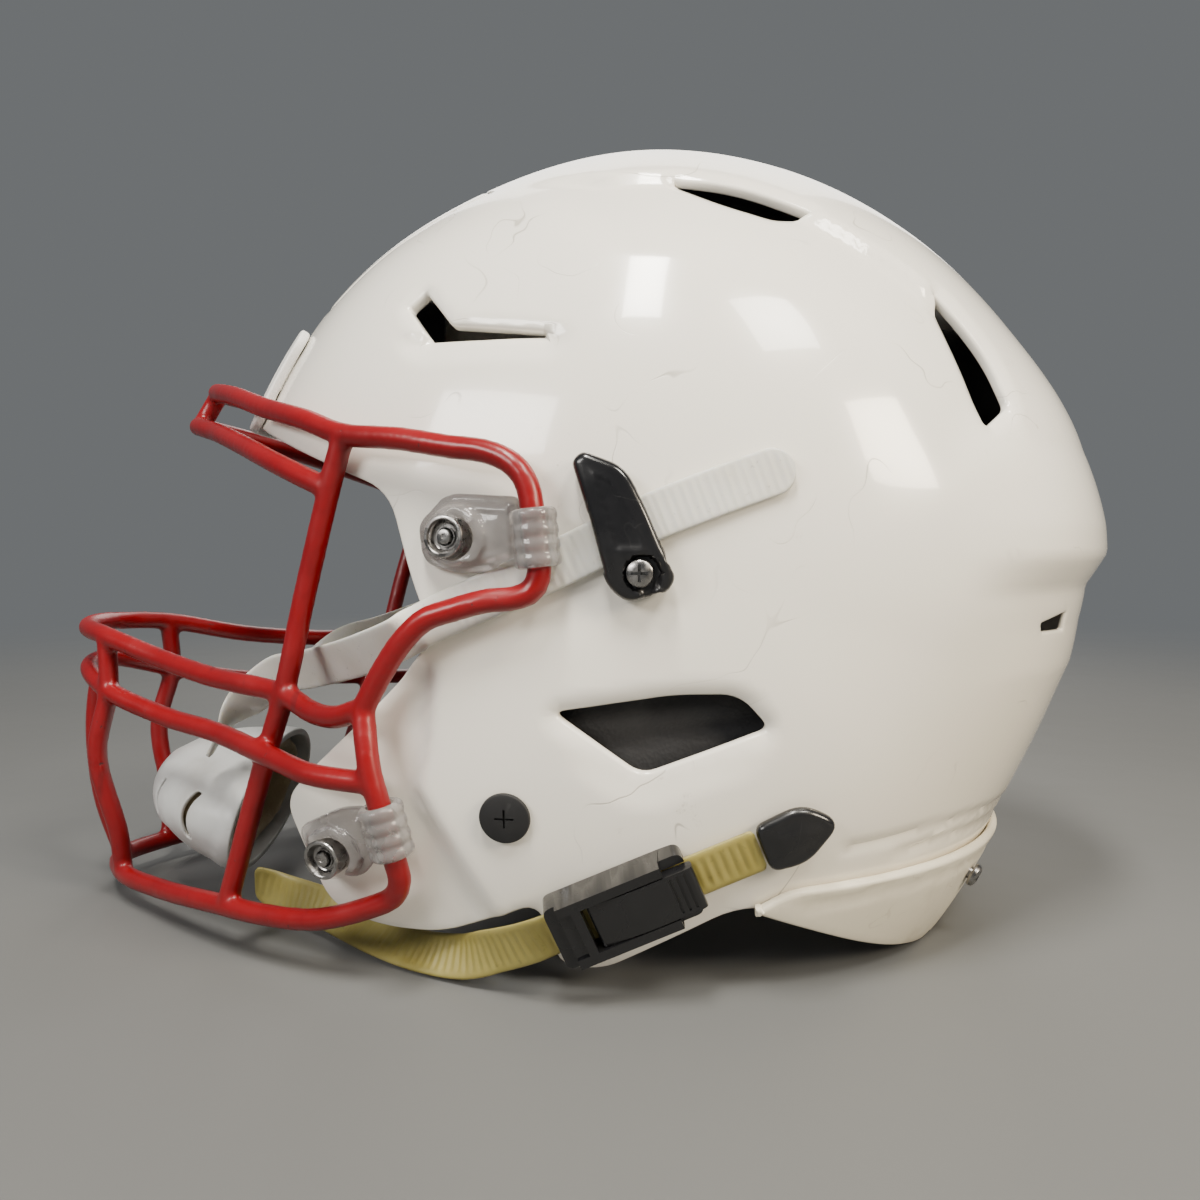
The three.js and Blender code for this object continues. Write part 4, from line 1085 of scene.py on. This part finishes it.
CLIPS = {
    "upper": dict(
        place=UPPER_CLIP, low=(119.4, -10.5, 116.5), high=(118.6, -12.1, 131.5),
        outline=[(-43.5, 127.5, 3), (-35.5, 135.5, 4), (-15.8, 134.5, 2), (-15.2, 117.5, 2), (-30, 114.2, 4), (-42, 117, 4)],
    ),
    "lower": dict(
        place=LOWER_CLIP, low=(108.4, -50, 39), high=(109.6, -53.5, 53.5),
        outline=[(-79, 43, 3), (-66, 50, 4), (-58.3, 51, 2), (-54.6, 38.5, 2), (-60, 31, 3), (-74.5, 29.5, 4)],
    ),
}


def clip_sleeve(low, high):
    """A ring round the guard's wire with ribs along it."""
    low, high = Vector(low), Vector(high)
    along = high - low
    inner, outer, length = WIRE_RADIUS + 0.45, WIRE_RADIUS + 2.6, along.length
    heights = np.linspace(0.6, length - 0.6, 33)
    ribs = outer + 0.55 * np.abs(np.sin(heights / length * 4 * math.pi)) - 0.2
    profile = [(inner, 0), (outer - 0.8, 0)] + list(zip(ribs, heights)) + [(outer - 0.8, length), (inner, length)]
    profile.append(profile[0])
    verts, faces = turned(profile, 40)
    side = along.normalized().orthogonal().normalized()
    frame_in = basis(side, along.normalized().cross(side), along.normalized(), low)
    return placed(verts, frame_in), faces


def make_clip(level):
    clip = CLIPS[level]
    place = np.array(clip["place"], float)
    outline = grown(rounded(clip["outline"], 0.8), -0.9)
    ring = circle(*place, QUICK_RELEASE["dish"] + 0.5, 40)

    def top(points):
        rim = distance_to(points, outline)
        centre = np.hypot(*(points - place).T)
        seat = 1.3 * smooth((9.2 - centre) / 1.2)
        ridge = 0.8 * np.exp(-((rim - 2.4) / 0.9) ** 2)
        dome = 4.4 + 1.4 * smooth(rim / 6)
        return np.minimum(dome + ridge + seat * smooth(rim / 2), 6.9)

    plate = skin([outline], [grown(ring, 0.4)], side_surface, top, GAP + 0.1, 1.1, 0.9, 3)
    made = mesh(f"clip_{level}", *gathered(plate, clip_sleeve(clip["low"], clip["high"])), "clip_clear")
    pair(fused(made, 0.42, 2), "helmet", f"clip_{level}")


# ---------------------------------------------------------------- fasteners

def cross_cut(matrix, top, reach=2.2, width=0.75, depth=1.5):
    cutters = []
    for x, y in ((reach, width / 2), (width / 2, reach)):
        verts, faces = box_parts((-x, x), (-y, y), (top - depth, top + 2))
        cutters.append(mesh("cutter", placed(verts, matrix), faces, "dark_metal"))
    return cutters


def make_screw(name, matrix, head_low, tip, node):
    top = head_low + SCREW["height"]
    head = SCREW["head"]
    profile = [(0, tip), (SCREW["shaft"], tip), (SCREW["shaft"], head_low), (head - 0.2, head_low), (head, head_low + 0.3),
               (head, top - 1.2), (head - 0.25, top - 0.6), (head - 0.9, top - 0.2), (head - 2, top), (0, top)]
    verts, faces = turned(profile, 56)
    made = mesh(name, placed(verts, matrix), faces, "dark_metal")
    made = carved(made, cross_cut(matrix, top))
    made.data.set_sharp_from_angle(angle=math.radians(35))
    if node == "brow_bumper_screw":
        return put(made, "helmet", node)
    return pair(made, "helmet", node)


def make_nut(name, matrix, radius, bore, thickness, node):
    """A round nut with a knurled edge on the inside of the shell."""
    high = -SHELL_WALL - 1.9
    low = high - thickness
    profile = [(bore, low), (radius - 0.35, low), (radius, low + 0.35), (radius, high - 0.35), (radius - 0.35, high), (bore, high), (bore, low)]
    verts, faces = turned(profile, 96)
    rim = np.hypot(verts[:, 0], verts[:, 1]) > radius - 0.6
    knurl = 1 - 0.03 * (np.arange(len(verts)) % 4 < 2)
    verts[rim, :2] *= knurl[rim, None]
    pair(mesh(name, placed(verts, matrix), faces, "dark_metal", sharp=30), "helmet", node)


def make_quick_release(level, place):
    matrix = shell_frame(*place)
    q = QUICK_RELEASE
    top, bore = q["top"], q["bore"]
    profile = [
        (0, q["tip"]), (q["stem"] - 0.3, q["tip"]), (q["stem"], q["tip"] + 0.3), (q["stem"], GAP), (q["dish"] - 0.2, GAP),
        (q["dish"], GAP + 0.2), (q["dish"], top - 0.35), (q["dish"] - 0.15, top - 0.1), (q["dish"] - 0.4, top),
        (q["dish"] - 0.9, top), (q["dish"] - 1.1, top - 0.15), (bore + 1.3, top - 2.1), (bore + 1.0, top - 2.3),
        (bore + 0.4, top - 2.3), (bore + 0.3, top - 1.6), (bore + 0.05, top - 1.6), (bore, top - 2), (bore, q["floor"]), (0, q["floor"]),
    ]
    verts, faces = turned(profile, 72)
    dish = mesh(f"quick_release_dish_{level}", placed(verts, matrix), faces, "dark_metal", sharp=30)
    pair(dish, "helmet", f"quick_release_housing_{level}")
    low, high, radius = q["floor"] + q["travel"] + GAP, top - GAP, q["button"]
    profile = [(0, low), (radius, low), (radius, high - 0.4), (radius - 0.12, high - 0.12), (radius - 0.4, high),
               (0.7, high), (0.55, high - 0.3), (0, high - 0.3)]
    verts, faces = turned(profile, 40)
    button = mesh(f"quick_release_pin_{level}", placed(verts, matrix), faces, "dark_metal", sharp=30)
    pair(button, "quick_release_button_" + level + "_{}", f"quick_release_button_{level}")
    make_nut(f"quick_release_round_nut_{level}", matrix, 7.5, q["stem"] + GAP, 1.8, f"quick_release_nut_{level}")


def make_plug():
    radius, height, stem = PLUG["radius"], PLUG["height"], PLUG["stem"]
    matrix = shell_frame(PLUG["y"], PLUG["z"])
    profile = [(0, PLUG["tip"]), (stem, PLUG["tip"]), (stem, GAP), (radius - 0.2, GAP), (radius, GAP + 0.2),
               (radius, height - 0.6), (radius - 0.2, height - 0.2), (radius - 0.7, height), (0, height)]
    verts, faces = turned(profile, 64)
    made = mesh("jaw_plug_cap", placed(verts, matrix), faces, "matte_black")
    carved(made, cross_cut(matrix, height, 2.6, 0.6, 0.9))
    made.data.set_sharp_from_angle(angle=math.radians(35))
    pair(made, "helmet", "jaw_plug")


# ---------------------------------------------------------------- strap keepers

KEEPER_OUTLINE = [
    (-2.3, 143.5, 2.5), (0.5, 146, 2), (11, 142, 4), (16, 133, 8), (24, 114, 2.5), (22, 110.5, 2.5),
    (11.5, 107.7, 3), (6.5, 112, 4), (3, 126.5, 8),
]


def make_keeper():
    screw = np.array([KEEPER["y"], KEEPER["z"]])
    outline = grown(rounded(KEEPER_OUTLINE, 0.7), -1.9)
    tunnel = STRAP["lift"] + STRAP["thickness"] / 2 + KEEPER["clearance"]

    def off_strap(points):
        slope = math.tan(CORRIDOR["slope"])
        rise = points[:, 1] - CORRIDOR["z"] - (points[:, 0] - CORRIDOR["y"]) * slope
        return np.abs(rise) - CORRIDOR["half"]

    def bottom(points):
        return KEEPER["low"] + (tunnel - KEEPER["low"] + 0.1) * smooth(0.5 - off_strap(points) / 0.8)

    def top(points):
        to_screw = np.hypot(*(points - screw).T)
        bulge = 0.5 * smooth((distance_to(points, outline) - 1) / 3)
        slope = 1.2 * smooth((122 - points[:, 1]) / 14)
        panel = 0.45 * smooth((distance_to(points, outline) - 2.6) / 0.5) * smooth((points[:, 1] - 121) / 1.5)
        height = KEEPER["height"] - 0.5 - slope + bulge - panel
        seat = smooth((4.9 - to_screw) / 0.6)
        return height * (1 - seat) + KEEPER["seat"] * seat

    hole = circle(*screw, 2.6, 24)
    parts = skin([outline], [hole], side_surface, top, bottom, 1.9, 0.75, 5)
    pair(mesh("keeper_cover", *parts, "gloss_black"), "strap_keeper_{}", "strap_keeper")


# ---------------------------------------------------------------- straps

def shell_station(y, z, lift, slope):
    out = egg_normal(y, z)
    across = out.cross(Vector((0, math.cos(slope), math.sin(slope)))).normalized()
    return on_shell(y, z, lift), across


def upper_stations():
    lift = STRAP["lift"]
    on = [(54, 142.5, lift, 0.33), (32, 134.6, lift, 0.37), (18, 129, lift, 0.4), (-5, 117.5, lift + 0.2, 0.44),
          (-25, 108.2, lift + 0.3, 0.44), (-41, 100.5, lift + 0.7, 0.44)]
    off = [((105.8, -48, 97.2), (0.3, -0.45, 0.85)), ((97, -58.5, 92.4), (0.25, -0.45, 0.86)),
           ((80, -71.5, 87.4), (0.22, -0.4, 0.88)), ((61.5, -85, 83), (0.2, -0.3, 0.92)),
           ((49, -98, 79), (0.2, -0.2, 0.95)), ((43, -114, 64), (0.5, 0.3, 0.6)), ((45, -120, 53.5), (0.8, 0.3, 0.3))]
    return [shell_station(*place) for place in on] + [(Vector(a), Vector(b).normalized()) for a, b in off]


def lower_stations():
    matrix = buckle_frame()
    across = matrix.to_3x3() @ Vector((0, 1, 0))
    inside_buckle = [(matrix @ Vector((x, 0, BUCKLE["strap"])), across) for x in (STRAP["rear_end"], 24, 0, -21)]
    off = [((110.5, -15, 16), (0.1, -0.4, 0.9)), ((105, -23.5, 12), (-0.1, -0.4, 0.9)),
           ((97, -33, 7.4), (-0.62, -0.3, 0.72)), ((87, -46, 5.2), (-0.86, -0.3, 0.47)),
           ((75, -61, 5.2), (-0.9, -0.3, 0.4)), ((60, -79, 8), (-0.7, -0.3, 0.65)),
           ((48, -97, 9.5), (-0.3, -0.2, 0.95)), ((44.5, -106, 12), (0.2, -0.3, 0.95))]
    return inside_buckle + [(Vector(a), Vector(b).normalized()) for a, b in off]


STRAP_SLIMMING = 0.7


def ribbon(stations, section, ends=(0, 0), step=0.5):
    """A flat band; section(travel, across) gives its half thickness, and ends its round corners."""
    centres = np.array([tuple(centre) for centre, _ in stations])
    sides = np.array([tuple(side) for _, side in stations])
    shares, length = even_shares(centres, step)
    line = centripetal(centres, shares)
    across = centripetal(sides, shares)
    tangents = np.gradient(line, axis=0)
    tangents /= np.linalg.norm(tangents, axis=1)[:, None]
    across -= tangents * np.sum(across * tangents, axis=1)[:, None]
    across /= np.linalg.norm(across, axis=1)[:, None]
    out = np.cross(tangents, across)
    travel = np.linspace(0, length, len(line))
    half = np.full(len(line), STRAP["width"] / 2)
    for radius, past in ((ends[0], travel), (ends[1], length - travel)):
        if radius:
            missing = np.clip(radius - past, 0, radius)
            half -= radius - np.sqrt(np.maximum(radius ** 2 - missing ** 2, 0.02))
    spread = np.sin(np.linspace(-math.pi / 2, math.pi / 2, 17))
    verts = []
    for k in range(len(line)):
        offset = spread * half[k]
        lift = STRAP_SLIMMING * section(travel[k], spread, length)
        top = line[k] + offset[:, None] * across[k] + lift[:, None] * out[k]
        bottom = line[k] + offset[1:-1, None][::-1] * across[k] - lift[1:-1, None][::-1] * out[k]
        verts.append(np.vstack([top, bottom]))
    loop = len(verts[0])
    faces = []
    for k in range(len(line) - 1):
        for j in range(loop):
            i = (j + 1) % loop
            faces.append((k * loop + j, (k + 1) * loop + j, (k + 1) * loop + i, k * loop + i))
    last = (len(line) - 1) * loop
    faces.append(tuple(range(loop)))
    faces.append(tuple(last + j for j in reversed(range(loop))))
    return np.vstack(verts), faces


def band_edge(spread):
    """Half thickness across a band: full in the middle, rounded off at its edges."""
    return STRAP["thickness"] / 2 * np.sqrt(np.clip(1 - np.abs(spread) ** 14, 0, 1))


def upper_section(travel, spread, length):
    pitch = 2.3
    ribbed = smooth((100 - travel) / 6)
    rib = 0.15 * smooth((math.cos(travel / pitch * 2 * math.pi) + 0.55) / 0.8)
    inner = smooth((0.88 - np.abs(spread)) / 0.06)
    return np.maximum(band_edge(spread) - ribbed * rib * inner, 0.02)


def lower_section(travel, spread, length):
    pitch = 2.6
    tooth = 0.42 * smooth((math.cos(travel / pitch * 2 * math.pi) + 0.2) / 0.6)
    inner = smooth((0.72 - np.abs(spread)) / 0.08)
    return np.maximum(band_edge(spread) - tooth * inner, 0.02)


def make_straps():
    pair(mesh("upper_strap_band", *ribbon(upper_stations(), upper_section, (6, 1.5)), "strap_white", sharp=50),
         "chin_strap", "upper_strap")
    pair(mesh("lower_strap_band", *ribbon(lower_stations(), lower_section, (1.5, 1.5)), "strap_yellowed", sharp=50),
         "chin_strap", "lower_strap")


END_CAP_OUTLINE = [(-1, -7, 3), (9, -8.5, 5), (21, -1, 5), (13, 8, 5), (-1, 7, 3)]


def make_end_cap():
    matrix = buckle_frame()
    start = STRAP["rear_end"] + GAP + 1
    outline = grown(rounded([(x + start, y, radius) for x, y, radius in END_CAP_OUTLINE], 0.7), -1.6)

    def surface(points, height):
        return placed(np.column_stack([points, height]), matrix)

    def top(points):
        return 7.0 + 1.0 * smooth(distance_to(points, outline) / 5)

    parts = skin([outline], [], surface, top, 3.4, 1.6, 0.8, 4)
    pair(mesh("end_cap_cover", *parts, "gloss_black"), "chin_strap", "strap_end_cap")


# ---------------------------------------------------------------- buckles

def local(name, parts, matrix, look="gloss_black"):
    verts, faces = parts
    return mesh(name, placed(verts, matrix), faces, look)


def make_buckle():
    matrix = buckle_frame()
    length, width, wall = BUCKLE["length"], BUCKLE["width"], BUCKLE["wall"]
    half_x, half_y = length / 2, width / 2
    height, floor = BUCKLE["height"], BUCKLE["floor"]
    inner, tunnel = half_y - wall, STRAP["width"] / 2 + 0.6
    plate = rounded([(-half_x, -half_y, 2.5), (half_x, -half_y, 2.5), (half_x, half_y, 2.5), (-half_x, half_y, 2.5)], 1)
    body = local("buckle_body", extruded(plate, 1.3, height), matrix)
    cutters = [
        ((-30, 30), (-tunnel, tunnel), (3, floor)),
        ((-10, 30), (-inner, inner), (floor - 1, 20)),
        ((13, 30), (-20, 20), (floor + 1, 20)),
        ((-half_x - 1, -half_x + 3.5), (-20, 20), (height - 2.2, 20)),
        ((-16.5, -12.5), (-inner, inner), (height - 0.9, 20)),
    ]
    carved(body, [local("cutter", box_parts(*cut), matrix) for cut in cutters])
    softened(body, 0.55)
    pair(body, "helmet", "buckle_base")
    x, z, long, thick = LEVER["x"], LEVER["z"], LEVER["length"], LEVER["thickness"]
    half = inner - GAP
    profile = rounded([(x - 2.6, z + 1.6, 1.5), (x - 2.2, z - 1.4, 1.2), (x + 3, z - 1.5, 1), (x + long, z - 1.2, 1),
                       (x + long, z + thick - 1.2, 1.5), (x + 10, z + 2.7, 3)], 0.8)
    verts, faces = extruded(profile, -half, half)
    verts = np.column_stack([verts[:, 0], -verts[:, 2], verts[:, 1]])
    lever = local("lever_arm", (verts, faces), matrix)
    rod = turned([(0, -20), (LEVER["pin"] + 0.3, -20), (LEVER["pin"] + 0.3, 20), (0, 20)], 32)
    hole = np.column_stack([rod[0][:, 0] + x, -rod[0][:, 2], rod[0][:, 1] + z])
    ribs = [((x + long - k, x + long - k + 0.7), (-half + 1, half - 1), (z + thick - 1.75, z + 6)) for k in (3, 5, 7)]
    carved(lever, [local("cutter", (hole, rod[1]), matrix)] + [local("cutter", box_parts(*rib), matrix) for rib in ribs])
    softened(lever, 0.35)
    pair(lever, "buckle_lever_{}", "buckle_lever")
    reach = width / 2 - 0.3
    pin = LEVER["pin"]
    verts, faces = turned([(0, -reach), (pin - 0.25, -reach), (pin, -reach + 0.25), (pin, reach - 0.25), (pin - 0.25, reach), (0, reach)], 32)
    verts = np.column_stack([verts[:, 0] + x, -verts[:, 2], verts[:, 1] + z])
    pair(mesh("buckle_hinge_pin", placed(verts, matrix), faces, "dark_metal"), "helmet", "buckle_pin")


# ---------------------------------------------------------------- chin cup

def cup_matrix():
    return Matrix.Translation((0, CUP["y"], CUP["z"])) @ Matrix.Rotation(math.radians(CUP["tilt"]), 4, "X")


def cup_surface(points, height):
    a, b, c = CUP["radii"]
    turn = np.arctan2(points[:, 1] / c, points[:, 0] / a)
    spread = np.hypot(points[:, 0] / a, points[:, 1] / c)
    reach = np.sin(np.minimum(spread, 1) * math.pi / 2)
    deep = np.cos(np.minimum(spread, 1) * math.pi / 2)
    shaped = np.column_stack([(a + height) * reach * np.cos(turn), -(b + height) * deep, (c + height) * reach * np.sin(turn)])
    return placed(shaped, cup_matrix())


def make_cup():
    a, _, c = CUP["radii"]
    turn = np.linspace(0, 2 * math.pi, 160, endpoint=False)
    outline = 0.955 * np.column_stack([a * np.cos(turn), c * np.sin(turn)])
    slots = []
    for side in (-1, 1):
        slots.append(rounded([(side * 33 - 1.4, -7, 1.2), (side * 33 + 1.4, -7, 1.2), (side * 33 + 1.4, 7, 1.2), (side * 33 - 1.4, 7, 1.2)], 0.8))
        slots.append(rounded([(side * 20 - 1.1, -4.5, 1), (side * 20 + 1.1, -4.5, 1), (side * 20 + 1.1, 4.5, 1), (side * 20 - 1.1, 4.5, 1)], 0.8))
    slots.append(circle(0, 0, 1.6, 20))

    def top(points):
        edge = distance_to(points, outline)
        rib = 0.7 * smooth((7.5 - np.abs(points[:, 1])) / 1.2) * smooth((27 - np.abs(points[:, 0])) / 2)
        return -1.0 + 1.0 * smooth((3.2 - edge) / 1.2) + rib

    parts = skin([outline], slots, cup_surface, top, -CUP["wall"], 0.7, 1.5, 4)
    put(mesh("chin_cup_bowl", *parts, "cup_grey"), "chin_strap", "chin_cup")


# ---------------------------------------------------------------- padding

def swollen(node, name, look, voxel=4.5, pressure=4.0, shrink=1.2, cap=3.2):
    """The pad's solid, remeshed and blown up a little as cloth, with no point moving past the cap."""
    source = NODES[node]
    made = bpy.data.objects.new(name, source.data.copy())
    bpy.context.scene.collection.objects.link(made)
    remesh = made.modifiers.new("remesh", "REMESH")
    remesh.mode = "VOXEL"
    remesh.voxel_size = voxel * MM
    applied(made)
    data = made.data
    normals = np.array([tuple(v.normal) for v in data.vertices])
    rest = np.array([tuple(v.co) for v in data.vertices]) - normals * shrink * MM
    data.vertices.foreach_set("co", rest.ravel())
    cloth = made.modifiers.new("cloth", "CLOTH")
    cloth.settings.use_pressure = True
    cloth.settings.uniform_pressure_force = pressure
    cloth.settings.effector_weights.gravity = 0
    cloth.settings.quality = 5
    cloth.settings.tension_stiffness = 20
    cloth.settings.compression_stiffness = 20
    cloth.point_cache.frame_start = 1
    cloth.point_cache.frame_end = 14
    for step in range(1, 15):
        bpy.context.scene.frame_set(step)
    applied(made)
    bpy.context.scene.frame_set(1)
    moved = np.array([tuple(v.co) for v in made.data.vertices])
    away = moved - rest
    far = np.linalg.norm(away, axis=1)
    away *= np.minimum(1, cap * MM / np.maximum(far, 1e-9))[:, None]
    made.data.vertices.foreach_set("co", (rest + away).ravel())
    subdivision = made.modifiers.new("subdivision", "SUBSURF")
    subdivision.levels = subdivision.render_levels = 1
    soft = made.modifiers.new("smooth", "SMOOTH")
    soft.iterations = 2
    applied(made)
    made.data.materials.clear()
    made.data.materials.append(LOOKS[look])
    made.data.shade_smooth()
    return made


def channelled(made, lines, depth=2.0, width=2.2):
    """Presses welded channels into a pad; each line gives the distance to it from a point in mm."""
    data = made.data
    points = np.array([tuple(v.co) for v in data.vertices]) / MM - (0, LENGTH_SHIFT, 0)
    normals = np.array([tuple(v.normal) for v in data.vertices])
    press = np.zeros(len(points))
    for line in lines:
        press = np.maximum(press, np.exp(-(line(points) / width) ** 2))
    moved = points - normals * (depth * press)[:, None] + (0, LENGTH_SHIFT, 0)
    data.vertices.foreach_set("co", (moved * MM).ravel())
    data.update()
    return made


def plane(axis, value):
    return lambda points: np.abs(points[:, axis] - value)


def ring_line(first, second, centre, radius):
    return lambda points: np.abs(np.hypot(points[:, first] - centre[0], points[:, second] - centre[1]) - radius)


def slanted(first, second, through, slope):
    """Distance to a slanted plane that shows as a line over two axes."""
    return lambda points: np.abs(points[:, second] - through[1] - slope * (points[:, first] - through[0])) / math.hypot(1, slope)


PAD_CHANNELS = {
    "front_pad": [plane(0, -24), plane(0, 24), plane(2, 171)],
    "crown_pad": [ring_line(0, 1, (0, 28), 20), slanted(0, 1, (0, 28), 1.1), slanted(0, 1, (0, 28), -1.1)],
    "back_pad": [plane(0, -20), plane(0, 20), plane(2, 130), plane(2, 160)],
    "neck_pad": [plane(0, -22), plane(0, 22), plane(2, 54)],
    "side_pad": [plane(1, 2), plane(1, 44), slanted(1, 2, (20, 152), 0.2)],
    "jaw_pad": [plane(1, -18), slanted(1, 2, (-40, 62), 0.15)],
}


def make_pads():
    for node in ("front_pad", "crown_pad", "back_pad", "neck_pad"):
        made = channelled(swollen(node, f"{node}_cover", "liner_black"), PAD_CHANNELS[node])
        put(made, "helmet", node)
    for node in ("side_pad", "jaw_pad"):
        made = channelled(swollen(f"{node}_left", f"{node}_cover", "liner_black"), PAD_CHANNELS[node])
        _, right = pair(made, "helmet", node)
    made = swollen("chin_cup_pad", "chin_cup_lining", "cup_padding", 2.6, 3.0, 0.6, 1.2)
    put(made, "chin_strap", "chin_cup_pad")


def make_floor():
    verts, faces = [(-6000, -6000, 0), (6000, -6000, 0), (6000, 6000, 0), (-6000, 6000, 0)], [(0, 1, 2, 3)]
    data = bpy.data.meshes.new("floor")
    data.from_pydata([tuple(v * MM for v in vert) for vert in verts], [], faces)
    data.materials.append(floor_look())
    floor = bpy.data.objects.new("floor", data)
    bpy.context.scene.collection.objects.link(floor)
    floor.location.z = min(0, CAD_BOUNDS[0][2]) - 0.0003


make_camera()
make_lights()
make_floor()
make_shell()
make_panel()
make_rear_bumper()
make_brow_bumper()
make_facemask()
make_clip("upper")
make_clip("lower")
make_quick_release("upper", UPPER_CLIP)
make_quick_release("lower", LOWER_CLIP)
make_plug()
keeper_frame = shell_frame(KEEPER["y"], KEEPER["z"])
make_screw("keeper_cross_screw", keeper_frame, 5.7, -7.8, "keeper_screw")
make_nut("keeper_round_nut", keeper_frame, 6.5, SCREW["shaft"] + GAP, 1.6, "keeper_nut")
make_screw("brow_bumper_cross_screw", brow_screw_frame(), GAP + 3.6, -6, "brow_bumper_screw")
make_screw("rear_bumper_cross_screw", shell_frame(*REAR_SCREW), GAP + 3.6, -6, "rear_bumper_screw")
make_keeper()
make_straps()
make_end_cap()
make_buckle()
make_cup()
make_pads()
